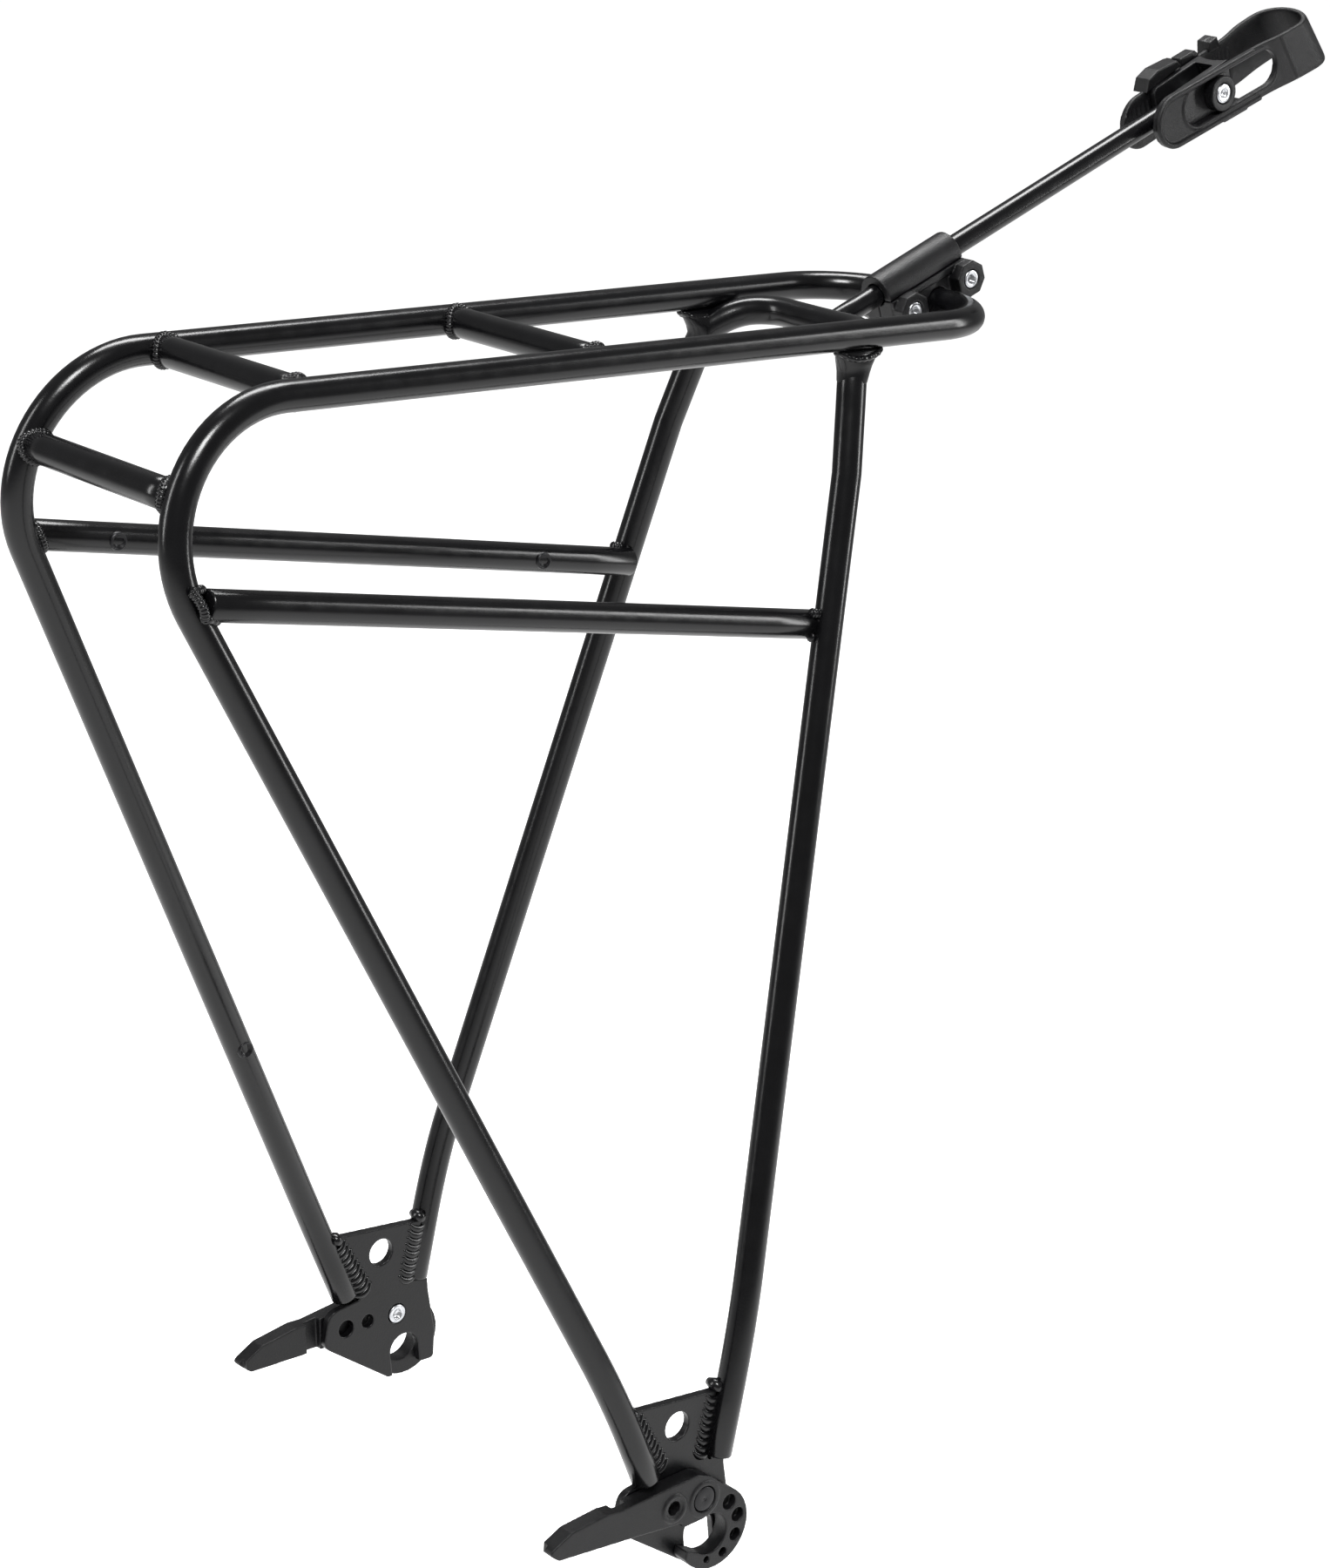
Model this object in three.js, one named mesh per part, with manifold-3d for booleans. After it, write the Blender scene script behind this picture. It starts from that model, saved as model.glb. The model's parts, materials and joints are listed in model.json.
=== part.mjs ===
// Bicycle rear rack: a bent-tube frame, two latching foot plates and an adjustable seat-tube stay.
// Millimetres. +X points to the front of the bicycle, +Y to its left and +Z up. The origin is on the
// line through the two eyelet bolts that the foot plates hook over, midway between the plates.

import * as THREE from 'three';
import { mergeVertices } from 'three/addons/utils/BufferGeometryUtils.js';
import Module from 'manifold-3d';

// ---------------------------------------------------------------- driving dimensions

const GAP = 0.3; // clearance between touching pieces
const SEGMENTS = 14; // sides of a round tube

// platform and legs
const TUBE_R = 5.1; // frame tube, 10 mm under its coating
const RAIL_Z = 403.8; // height of the top rails above the eyelet axis
const RAIL_Y_REAR = 38.9; // half spacing of the top rails behind ...
const RAIL_Y_FRONT = 41; // ... and in front
const REAR_LEG_TOP_X = -220.5; // where the rear leg line meets the rail height
const REAR_LEG_SLOPE = 0.522; // forward travel per millimetre down
const FRONT_LEG_TOP_X = 85.1;
const FRONT_LEG_SLOPE = -0.215;
const LEG_SPLAY = 0.1435; // outward travel per millimetre down
const REAR_LEG_TOP_Y = 38.1;
const FRONT_LEG_TOP_Y = 40.0;
const LEG_FOOT_Y = 87.3; // half spacing of the legs' parallel lower ends
const LEG_END_Z = 27.3; // where the legs end, above the eyelet axis
const LEG_TOE = 2; // how far a leg's end leans away from the plate's middle
const REAR_BEND_R = 42; // bend from the rear leg into the top rail
const NOSE_X = 152.8; // front of the rail loop, on its centreline
const NOSE_R = 30.5; // corner radius of the rail loop's front
const BOW_X = 102; // front hoop where it crosses between the rails
const BOW_DROP = 4.2; // depth of that crossing below the rails

// cross tubes and lower rails
const CROSS_TUBES = [
  { name: 'cross_tube_rear', x: -190.3, z: RAIL_Z - 26.7 },
  { name: 'cross_tube_middle', x: -145.3, z: RAIL_Z },
  { name: 'cross_tube_front', x: -29.6, z: RAIL_Z },
];
const LOWER_RAIL_REAR = new THREE.Vector3(-186, 49.7, 346.2);
const LOWER_RAIL_FRONT = new THREE.Vector3(62, 48.8, 307.3);
const LOWER_RAIL_HOLES = [0.12, 0.825]; // accessory holes, as a fraction of the rail's length
const ACCESSORY_HOLE_R = 1.7;
const ACCESSORY_HOLE_DEPTH = 4;
const LEG_HOLE_Z = 144.3;

// foot plates
const PLATE_IN = 83.5; // inner face, from the mirror plane
const PLATE_OUT = 86.7; // outer face
const HOOK_R = 6.5; // slot that drops over the eyelet bolt
const HOOK_TILT = THREE.MathUtils.degToRad(9);
const PIVOT = new THREE.Vector2(-4.1, 15.8); // lever pivot, in the plate's plane
const LOBE = new THREE.Vector2(-27.5, 15.7); // rear lobe with the M6 hole
const LOBE_R = 9;
const LOBE_HOLE_R = 3.3;
const LOCK_HOLE = new THREE.Vector2(-17.6, 16.2); // locking-screw hole through plate and lever
const LOCK_HOLE_R = 2.6;
const WINDOW = new THREE.Vector2(-12.4, 43); // large round hole between the legs
const WINDOW_R = 5.25;

// latch levers
const LEVER_IN = PLATE_OUT + GAP;
const LEVER_OUT = 93.4;
const LEVER_PAD_IN = 89.4; // inner side of the arm around its thumb pad
const LEFT_LEVER_OPEN = THREE.MathUtils.degToRad(4); // the left lever rests slightly open
const LEVER_TIP_X = -72.8;
const LEVER_RING = new THREE.Vector2(1.5, 2.7);
const LEVER_RING_R = 15.2;
const LEVER_BORE_R = 7.6; // opening around the eyelet bolt
const RIM_POCKETS_R = [2.85, 2.6, 2.35, 1.7, 1.2];
const PIVOT_HEAD_R = 4.5;
const PIVOT_SHANK_R = 3.4;
const PIVOT_SCREW_R = 3.65;
const WASHER_R = 6;

// strut, its clamp on the rail loop, and the seat-tube clamp
const STRUT_ANGLE = THREE.MathUtils.degToRad(22.1);
const STRUT_R = 3.9;
const STRUT_LIFT = 12.1; // strut axis above the rail loop's front tube, across the strut
const STRUT_START = -41.5; // rear end of the strut, along it from the clamped tube
const STRUT_LENGTH = 194.5; // rear end to swivel screw
const CLAMP_BOLTS = [
  { name: 'front', u: 13.2, w: 3.7 },
  { name: 'rear', u: -15.1, w: 4.9 },
];
const CLAMP_HALF_WIDTH = 6.8;
const BOSS_FACE = 12; // outer faces of the clamp's bolt bosses
const BOLT_BOSS_R = 6.7; // across corners
const SADDLE_R = 7.2;
const SADDLE_SKIRT = 1.4;
const SADDLE_REAR_U = -21.5;
const SADDLE_FRONT_U = 15.2;
const M4_R = 2;
const M4_HEAD_R = 3.2;
const M4_NUT_R = 4.04; // across corners
const HEAD_TILT = THREE.MathUtils.degToRad(-2.1); // seat clamp against the strut
const ARM_Y = 10; // outer faces of the strap's two arms
const STRAP_T = 2.6;
const STRAP_LOW = -10.8;
const STRAP_HIGH = 9.4;
const STRAP_SLANT = -0.38; // forward lean of the strap's round front, going down
const ARM_REAR_U = -35.5;
const LOOP_U = 48; // centre of the strap's round front
const LOOP_R = 11.8;
const CHEEK_IN = 4.3;
const CHEEK_OUT = ARM_Y - STRAP_T - GAP;
const BODY_FRONT_U = 10;
const SWIVEL_R = 2.5;
const SWIVEL_HEAD_R = 3.6;
const BOSS_R = 6.6;
const BUSH_FACE = ARM_Y + 1.2; // outer face of the bush that fills the strap's window
const STRAP_WINDOW_HALF = 7; // half height of the window in the strap's right arm
const SEAT_TUBE_R = 14.3; // smallest seat tube that the hollowed face fits
const BUCKLE_REAR_U = -16;
const BUCKLE_CAP_U = -2; // front of the cap over the strap's tail
const BUCKLE_LUG_U = 15; // rear of the keeper lug
const BUCKLE_FRONT_U = 20;

// ---------------------------------------------------------------- materials

function finish(name, color, roughness, metalness) {
  return new THREE.MeshStandardMaterial({ name, color, roughness, metalness });
}
const powderCoat = () => finish('black_powder_coat', 0x1a1a1b, 0.38, 0.25);
const plateCoat = () => finish('black_plate_coat', 0x222223, 0.5, 0.2);
const nylon = () => finish('black_nylon', 0x1c1c1d, 0.6, 0);
const rubbery = () => finish('black_strap', 0x171718, 0.68, 0);
const zinc = () => finish('bright_steel', 0xc9ccd0, 0.25, 1);
const blackSteel = () => finish('black_steel', 0x2a2a2b, 0.45, 0.6);

// ---------------------------------------------------------------- solids

const wasm = await Module();
wasm.setup();

function toSolid(geometry) {
  const bare = geometry.clone();
  bare.deleteAttribute('normal');
  bare.deleteAttribute('uv');
  const merged = mergeVertices(bare, 1e-4);
  return new wasm.Manifold(new wasm.Mesh({
    numProp: 3,
    vertProperties: new Float32Array(merged.attributes.position.array),
    triVerts: new Uint32Array(merged.index.array),
  }));
}

function toGeometry(solid) {
  const mesh = solid.getMesh();
  const geometry = new THREE.BufferGeometry();
  geometry.setAttribute('position', new THREE.BufferAttribute(mesh.vertProperties, 3));
  geometry.setIndex(new THREE.BufferAttribute(mesh.triVerts, 1));
  geometry.computeVertexNormals();
  return geometry;
}

function cut(solid, ...tools) {
  return tools.reduce((left, tool) => left.subtract(tool), solid);
}

function join(solid, ...others) {
  return others.reduce((whole, other) => whole.add(other), solid);
}

// the same geometry on the other side of the mirror plane
function mirrored(geometry) {
  const other = geometry.clone();
  other.scale(1, -1, 1);
  const index = other.index.array;
  for (let i = 0; i < index.length; i += 3) {
    [index[i], index[i + 1]] = [index[i + 1], index[i]];
  }
  other.computeVertexNormals();
  return other;
}

// an outline in the XZ plane, as a solid between two distances along Y
function prism(shape, yLow, yHigh, curveSegments = 5) {
  const geometry = new THREE.ExtrudeGeometry(shape, {
    depth: yHigh - yLow,
    bevelEnabled: false,
    curveSegments,
  });
  geometry.rotateX(Math.PI / 2);
  geometry.translate(0, yHigh, 0);
  return toSolid(geometry);
}

// a round bar along Y, centred on (x, z)
function barY(x, z, radius, yLow, yHigh, sides = 18) {
  const geometry = new THREE.CylinderGeometry(radius, radius, yHigh - yLow, sides);
  geometry.rotateY(Math.PI / sides);
  geometry.translate(x, (yLow + yHigh) / 2, z);
  return toSolid(geometry);
}

// a closed outline of straight sides with rounded corners; each corner is [x, z, radius]
function roundedOutline(corners) {
  const shape = new THREE.Shape();
  corners.forEach(([x, z, radius], i) => {
    const here = new THREE.Vector2(x, z);
    const before = corners[(i + corners.length - 1) % corners.length];
    const after = corners[(i + 1) % corners.length];
    const back = new THREE.Vector2(before[0], before[1]).sub(here).normalize();
    const ahead = new THREE.Vector2(after[0], after[1]).sub(here).normalize();
    const half = Math.acos(THREE.MathUtils.clamp(back.dot(ahead), -1, 1)) / 2;
    const reach = radius / Math.tan(half);
    const from = here.clone().addScaledVector(back, reach);
    const to = here.clone().addScaledVector(ahead, reach);
    if (i === 0) {
      shape.moveTo(from.x, from.y);
    } else {
      shape.lineTo(from.x, from.y);
    }
    if (radius > 0) {
      shape.quadraticCurveTo(here.x, here.y, to.x, to.y);
    }
  });
  shape.closePath();
  return shape;
}

function circleShape(x, z, radius) {
  const shape = new THREE.Shape();
  shape.absarc(x, z, radius, 0, Math.PI * 2);
  return shape;
}

function regularPolygon(x, z, circumradius, sides, turn = 0) {
  const shape = new THREE.Shape();
  for (let i = 0; i < sides; i += 1) {
    const angle = turn + (i * Math.PI * 2) / sides;
    const corner = [x + circumradius * Math.cos(angle), z + circumradius * Math.sin(angle)];
    if (i === 0) {
      shape.moveTo(...corner);
    } else {
      shape.lineTo(...corner);
    }
  }
  shape.closePath();
  return shape;
}

// a path through given stations, so that a bend has many steps and a straight run has one
class StationPath extends THREE.Curve {
  constructor(stations) {
    super();
    this.stations = stations;
  }

  getPoint(t, target = new THREE.Vector3()) {
    const last = this.stations.length - 1;
    const place = Math.min(Math.max(t, 0), 1) * last;
    const i = Math.min(Math.floor(place + 1e-9), last - 1);
    return target.lerpVectors(this.stations[i], this.stations[i + 1], place - i);
  }

  getPointAt(u, target) {
    return this.getPoint(u, target);
  }

  getTangentAt(u, target = new THREE.Vector3()) {
    const last = this.stations.length - 1;
    const i = Math.round(u * last);
    const here = this.stations[i];
    const into = here.clone().sub(this.stations[Math.max(i - 1, 0)]).normalize();
    const out = this.stations[Math.min(i + 1, last)].clone().sub(here).normalize();
    return target.copy(into).add(out).normalize();
  }

  getSpacedPoints(divisions) {
    return Array.from({ length: divisions + 1 }, (_, i) => this.getPoint(i / divisions));
  }
}

function tubeAlong(stations, radius, sides = SEGMENTS) {
  const geometry = new THREE.ExtrudeGeometry(circleShape(0, 0, radius), {
    steps: stations.length - 1,
    curveSegments: sides / 2,
    bevelEnabled: false,
    extrudePath: new StationPath(stations),
  });
  return toSolid(geometry);
}

// ---------------------------------------------------------------- frame tubes

const flip = (point) => new THREE.Vector3(point.x, -point.y, point.z);

// a leg's centreline point at height z: it splays outwards, then runs parallel to the foot plate
function legPoint(topX, slope, topY, z) {
  const down = RAIL_Z - z;
  const y = Math.min(topY + LEG_SPLAY * down, LEG_FOOT_Y);
  return new THREE.Vector3(topX + slope * down, y, z);
}

const rearLegPoint = (z) => legPoint(REAR_LEG_TOP_X, REAR_LEG_SLOPE, REAR_LEG_TOP_Y, z);
const frontLegPoint = (z) => legPoint(FRONT_LEG_TOP_X, FRONT_LEG_SLOPE, FRONT_LEG_TOP_Y, z);

// the short lower bend, where a splayed leg turns parallel to its plate
function legFoot(pointAt, topY, toe) {
  const bendZ = RAIL_Z - (LEG_FOOT_Y - topY) / LEG_SPLAY;
  const end = pointAt(LEG_END_Z);
  end.x += toe;
  return [end, pointAt(bendZ - 8), pointAt(bendZ), pointAt(bendZ + 8)];
}

// rear bend: an arc in side view, while its distance from the mirror plane eases from leg to rail
function rearBend(steps) {
  const legTurn = Math.atan2(1, -REAR_LEG_SLOPE);
  const railX = REAR_LEG_TOP_X + REAR_BEND_R * Math.tan(legTurn / 2);
  const centre = new THREE.Vector2(railX, RAIL_Z - REAR_BEND_R);
  const low = rearLegPoint(centre.y + REAR_BEND_R * Math.cos(legTurn));
  const ease = new THREE.CubicBezierCurve(
    new THREE.Vector2(0, low.y),
    new THREE.Vector2(1 / 3, low.y - (LEG_SPLAY * REAR_BEND_R * legTurn) / 3.4),
    new THREE.Vector2(2 / 3, RAIL_Y_REAR),
    new THREE.Vector2(1, RAIL_Y_REAR),
  );
  return Array.from({ length: steps + 1 }, (_, i) => {
    const angle = Math.PI / 2 + legTurn * (1 - i / steps);
    return new THREE.Vector3(
      centre.x + REAR_BEND_R * Math.cos(angle),
      ease.getPoint(i / steps).y,
      centre.y + REAR_BEND_R * Math.sin(angle),
    );
  });
}

// a quarter turn at the front of the rail loop, from the rail to the nose
function noseCorner(steps) {
  return Array.from({ length: steps + 1 }, (_, i) => {
    const angle = (Math.PI / 2) * (1 - i / steps);
    return new THREE.Vector3(
      NOSE_X - NOSE_R + NOSE_R * Math.cos(angle),
      RAIL_Y_FRONT - NOSE_R + NOSE_R * Math.sin(angle),
      RAIL_Z,
    );
  });
}

function mainLoopStations() {
  const foot = legFoot(rearLegPoint, REAR_LEG_TOP_Y, -LEG_TOE);
  const left = [...foot, ...rearBend(9), ...noseCorner(7)];
  return [...left, ...left.map(flip).reverse()];
}

// the hoop's legs lean in under the rails and meet in a bow between them
function hoopStations() {
  const leg = legFoot(frontLegPoint, FRONT_LEG_TOP_Y, LEG_TOE);
  const bow = new THREE.CatmullRomCurve3([
    frontLegPoint(RAIL_Z - 46),
    new THREE.Vector3(BOW_X - 22.5, 41.8, RAIL_Z - 26),
    new THREE.Vector3(BOW_X - 19.6, 38.7, RAIL_Z - 13.5),
    new THREE.Vector3(BOW_X - 14.5, 35.2, RAIL_Z - 8.5),
    new THREE.Vector3(BOW_X - 7.5, 29.8, RAIL_Z - 5),
    new THREE.Vector3(BOW_X - 1.5, 21, RAIL_Z - BOW_DROP + 0.3),
    new THREE.Vector3(BOW_X - 0.2, 10, RAIL_Z - BOW_DROP + 0.1),
    new THREE.Vector3(BOW_X, 0, RAIL_Z - BOW_DROP),
  ], false, 'centripetal');
  const left = [...leg, ...bow.getPoints(16)];
  return [...left, ...left.slice(0, -1).map(flip).reverse()];
}

const mainLoop = tubeAlong(mainLoopStations(), TUBE_R);
const mainLoopSpace = tubeAlong(mainLoopStations(), TUBE_R + GAP);
const frontHoop = tubeAlong(hoopStations(), TUBE_R);
const frontHoopSpace = tubeAlong(hoopStations(), TUBE_R + GAP);

// a blind accessory hole, drilled into a tube from the inside of the rack
function accessoryHole(point) {
  const inner = point.y - TUBE_R;
  return barY(point.x, point.z, ACCESSORY_HOLE_R, inner - 1, inner + ACCESSORY_HOLE_DEPTH, 12);
}

function accessoryHoles(points) {
  const left = points.map(accessoryHole);
  const right = left.map((hole) => toSolid(mirrored(toGeometry(hole))));
  return [...left, ...right];
}

// a straight tube between the two sides of the loop, coped to fit them
function crossTube({ x, z }) {
  const ends = [
    new THREE.Vector3(x, -RAIL_Y_REAR, z),
    new THREE.Vector3(x, RAIL_Y_REAR, z),
  ];
  return cut(tubeAlong(ends, TUBE_R), mainLoopSpace);
}

function lowerRail() {
  const rail = tubeAlong([LOWER_RAIL_REAR, LOWER_RAIL_FRONT], TUBE_R);
  const holes = LOWER_RAIL_HOLES.map((along) => {
    return accessoryHole(new THREE.Vector3().lerpVectors(LOWER_RAIL_REAR, LOWER_RAIL_FRONT, along));
  });
  return cut(rail, mainLoopSpace, frontHoopSpace, ...holes);
}

// ---------------------------------------------------------------- foot plates and latch levers

// outline of the left foot plate in the XZ plane, with the hook slot cut later
function plateOutline() {
  const underRearLeg = (z) => rearLegPoint(z).x + 1.8;
  const underFrontLeg = (z) => frontLegPoint(z).x - 1.8;
  return roundedOutline([
    [underRearLeg(54.2), 54.2, 0],
    [underRearLeg(26), 26, 0.5],
    [LOBE.x - LOBE_R + 1, LOBE.y + LOBE_R - 1, 6],
    [LOBE.x - LOBE_R - 1, LOBE.y - LOBE_R + 3.5, 5],
    [-7.2, -9.9, 1.2],
    [2, -9.9, 0],
    [6, -7.3, 0],
    [14.2, -7.3, 2],
    [14.2, 4, 6],
    [10.4, 22, 3],
    [9.6, 29, 0],
    [underFrontLeg(30), 30, 0],
    [underFrontLeg(51.6), 51.6, 0],
  ]);
}

function hookSlot() {
  const reach = 20;
  const side = new THREE.Vector2(Math.cos(HOOK_TILT), Math.sin(HOOK_TILT)).multiplyScalar(HOOK_R);
  const down = new THREE.Vector2(Math.sin(HOOK_TILT), -Math.cos(HOOK_TILT)).multiplyScalar(reach);
  const shape = new THREE.Shape();
  shape.moveTo(side.x, side.y);
  shape.absarc(0, 0, HOOK_R, HOOK_TILT, HOOK_TILT + Math.PI, false);
  shape.lineTo(-side.x + down.x, -side.y + down.y);
  shape.lineTo(side.x + down.x, side.y + down.y);
  shape.closePath();
  return prism(shape, PLATE_IN - 1, PLATE_OUT + 1);
}

function footPlate() {
  const low = PLATE_IN - 1;
  const high = PLATE_OUT + 1;
  return cut(
    prism(plateOutline(), PLATE_IN, PLATE_OUT),
    mainLoopSpace,
    frontHoopSpace,
    hookSlot(),
    barY(LOBE.x, LOBE.y, LOBE_HOLE_R, low, high),
    barY(LOCK_HOLE.x, LOCK_HOLE.y, LOCK_HOLE_R, low, high, 14),
    barY(WINDOW.x, WINDOW.y, WINDOW_R, low, high, 22),
    barY(PIVOT.x, PIVOT.y, PIVOT_SHANK_R + GAP, low, high),
    barY(PIVOT.x, PIVOT.y, PIVOT_SCREW_R + GAP, low, PLATE_IN + 1.4),
  );
}

// lever outline: a long thumb arm, a hub over the pivot and the start of the ring below it
function leverArm() {
  return roundedOutline([
    [LEVER_TIP_X, 15.6, 2],
    [-67.8, 12, 2],
    [-33, 10.4, 0],
    [-14, 9.2, 0],
    [-8, 2, 0],
    [8, 2, 0],
    [12, 13, 3],
    [-1.5, 23.6, 3],
    [-7.2, 25.8, 2],
    [-14, 25.2, 0],
    [-42, 22.6, 0],
    [-47.6, 23, 2],
    [-62.8, 20.9, 3],
  ]);
}

// the inner side is set back at the tip and behind the thumb pad
function leverReliefs() {
  return [[LEVER_TIP_X - 5, LEVER_TIP_X + 3], [-43, -37]].map(([rear, front]) => {
    const across = roundedOutline([[rear, -5, 0], [front, -5, 0], [front, 40, 0], [rear, 40, 0]]);
    return prism(across, LEVER_IN - 1, LEVER_PAD_IN);
  });
}

// where the eyelet bolt's head passes into the ring
function leverMouth() {
  const shape = new THREE.Shape();
  shape.moveTo(-2, 8.2);
  shape.lineTo(-14, 7.2);
  shape.lineTo(-30, 7.2);
  shape.lineTo(-30, -8);
  shape.lineTo(-11.6, -8);
  shape.lineTo(-10.6, -2.6);
  shape.lineTo(-2, -6);
  shape.closePath();
  return shape;
}

function latchLever() {
  const low = LEVER_IN - 1;
  const high = LEVER_OUT + 1;
  const pockets = RIM_POCKETS_R.map((radius, i) => {
    const angle = THREE.MathUtils.degToRad(55 - i * 40);
    const x = LEVER_RING.x + 10.9 * Math.cos(angle);
    const z = LEVER_RING.y - 0.6 + 10.9 * Math.sin(angle);
    return barY(x, z, radius, LEVER_OUT - 3, high, 8);
  });
  const arm = prism(leverArm(), LEVER_IN, LEVER_OUT, 4);
  const ring = barY(LEVER_RING.x, LEVER_RING.y, LEVER_RING_R, LEVER_IN, LEVER_OUT, 32);
  return cut(
    join(arm, ring),
    barY(-0.5, 1.2, LEVER_BORE_R, low, high, 20),
    prism(leverMouth(), low, high),
    ...leverReliefs(),
    barY(LOCK_HOLE.x, LOCK_HOLE.y, LOCK_HOLE_R, low, high, 14),
    barY(PIVOT.x, PIVOT.y, PIVOT_SHANK_R + GAP, low, high),
    barY(PIVOT.x, PIVOT.y, PIVOT_HEAD_R + GAP, LEVER_OUT - 1.8, high),
    barY(PIVOT.x, PIVOT.y, WASHER_R + 0.4, low, LEVER_IN + 1.3),
    ...pockets,
  );
}

// outer pivot bolt: a flat head over a hollow shank that the inner screw threads into
function pivotBolt() {
  return cut(
    join(
      barY(PIVOT.x, PIVOT.y, PIVOT_HEAD_R, LEVER_OUT - 1.5, LEVER_OUT + 0.3),
      barY(PIVOT.x, PIVOT.y, PIVOT_SHANK_R, PLATE_IN + 1.6, LEVER_OUT - 1.2),
    ),
    barY(PIVOT.x, PIVOT.y, M4_R + GAP, PLATE_IN, LEVER_IN + 4, 12),
  );
}

function hexSocket(x, z, acrossFlats, yLow, yHigh) {
  return prism(regularPolygon(x, z, acrossFlats / Math.sqrt(3), 6), yLow, yHigh);
}

function pivotScrew() {
  const face = PLATE_IN - 0.5;
  return cut(
    join(
      barY(PIVOT.x, PIVOT.y, PIVOT_SCREW_R, face, PLATE_IN + 1.2),
      barY(PIVOT.x, PIVOT.y, M4_R, PLATE_IN + 1, LEVER_IN + 3, 12),
    ),
    hexSocket(PIVOT.x, PIVOT.y, 3.4, face - 1, face + 1.2),
  );
}

function pivotWasher() {
  return cut(
    barY(PIVOT.x, PIVOT.y, WASHER_R, LEVER_IN, LEVER_IN + 1),
    barY(PIVOT.x, PIVOT.y, PIVOT_SHANK_R + GAP, LEVER_IN - 1, LEVER_IN + 2),
  );
}

// ---------------------------------------------------------------- strut and its clamp
// Local frame: U (x) along the strut, W (z) across it, origin on the clamped tube's axis.

function strutRod() {
  const end = STRUT_START + STRUT_LENGTH;
  const rod = tubeAlong([
    new THREE.Vector3(STRUT_START, 0, STRUT_LIFT),
    new THREE.Vector3(end, 0, STRUT_LIFT),
  ], STRUT_R, 16);
  const eye = barY(end, STRUT_LIFT, 5.2, -STRUT_R + 0.4, STRUT_R - 0.4);
  return cut(join(rod, eye), barY(end, STRUT_LIFT, SWIVEL_R + GAP, -6, 6, 14));
}

// half of the lower clamp, on the left of the mirror plane: seat for the tube and channel for the strut
function clampHalf() {
  const seamW = STRUT_LIFT - SADDLE_SKIRT - GAP;
  const outline = roundedOutline([
    [SADDLE_REAR_U, seamW, 0],
    [SADDLE_REAR_U, 0.5, 2],
    [-10, -2.2, 2],
    [-7.4, -7.4, 1.5],
    [7.4, -7.4, 1.5],
    [9.2, -3.4, 2],
    [18.4, -2.6, 3],
    [19.6, 6, 2],
    [SADDLE_FRONT_U, seamW, 0],
  ]);
  const bosses = CLAMP_BOLTS.map(({ u, w }) => {
    return prism(regularPolygon(u, w, BOLT_BOSS_R, 8, Math.PI / 8), 1, BOSS_FACE);
  });
  const bores = CLAMP_BOLTS.map(({ u, w }) => barY(u, w, M4_R + GAP, -1, BOSS_FACE + 1, 12));
  const mouth = roundedOutline([[-4.4, 1, 0], [-5, -12, 0], [5, -12, 0], [4.4, 1, 0]]);
  const aboveSeam = roundedOutline([[-30, seamW, 0], [30, seamW, 0], [30, 30, 0], [-30, 30, 0]]);
  return cut(
    join(prism(outline, GAP / 2, CLAMP_HALF_WIDTH, 3), ...bosses),
    barY(0, 0, TUBE_R + GAP, -1, BOSS_FACE, 22),
    prism(mouth, -1, BOSS_FACE),
    prism(aboveSeam, -1, SADDLE_R + GAP),
    strutSpace(),
    ...bores,
  );
}

function strutSpace() {
  return tubeAlong([
    new THREE.Vector3(-60, 0, STRUT_LIFT),
    new THREE.Vector3(60, 0, STRUT_LIFT),
  ], STRUT_R + GAP, 16);
}

function clampRight() {
  const wells = CLAMP_BOLTS.map(({ u, w }) => {
    return barY(u, w, M4_HEAD_R + GAP, BOSS_FACE - 3.2, BOSS_FACE + 1, 16);
  });
  return toSolid(mirrored(toGeometry(cut(clampHalf(), ...wells))));
}

function clampLeft() {
  const pockets = CLAMP_BOLTS.map(({ u, w }) => {
    return prism(regularPolygon(u, w, M4_NUT_R + GAP, 6), BOSS_FACE - 3.4, BOSS_FACE + 1);
  });
  return cut(clampHalf(), ...pockets);
}

function clampBolt({ u, w }) {
  return cut(
    join(
      barY(u, w, M4_HEAD_R, -BOSS_FACE, -BOSS_FACE + 2.9, 16),
      barY(u, w, M4_R, -BOSS_FACE + 2.5, BOSS_FACE - 0.4, 12),
    ),
    hexSocket(u, w, 3, -BOSS_FACE - 1, -BOSS_FACE + 2),
  );
}

function clampNut({ u, w }) {
  return cut(
    prism(regularPolygon(u, w, M4_NUT_R, 6), BOSS_FACE - 3.1, BOSS_FACE - 0.2),
    barY(u, w, M4_R + GAP, BOSS_FACE - 5, BOSS_FACE + 1, 12),
  );
}

// cap over the strut: half round above, with short straight walls down to the lower clamp
function clampSaddle() {
  const section = new THREE.Shape();
  section.moveTo(-SADDLE_R, STRUT_LIFT - SADDLE_SKIRT);
  section.lineTo(SADDLE_R, STRUT_LIFT - SADDLE_SKIRT);
  section.lineTo(SADDLE_R, STRUT_LIFT);
  section.absarc(0, STRUT_LIFT, SADDLE_R, 0, Math.PI, false);
  section.closePath();
  return cut(prismX(section, SADDLE_REAR_U, SADDLE_FRONT_U), strutSpace());
}

// an outline in the YZ plane, as a solid between two distances along X
function prismX(shape, xLow, xHigh, curveSegments = 12) {
  const geometry = new THREE.ExtrudeGeometry(shape, {
    depth: xHigh - xLow,
    bevelEnabled: false,
    curveSegments,
  });
  geometry.applyMatrix4(new THREE.Matrix4().makeBasis(
    new THREE.Vector3(0, 1, 0),
    new THREE.Vector3(0, 0, 1),
    new THREE.Vector3(1, 0, 0),
  ));
  geometry.translate(xLow, 0, 0);
  return toSolid(geometry);
}

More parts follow.
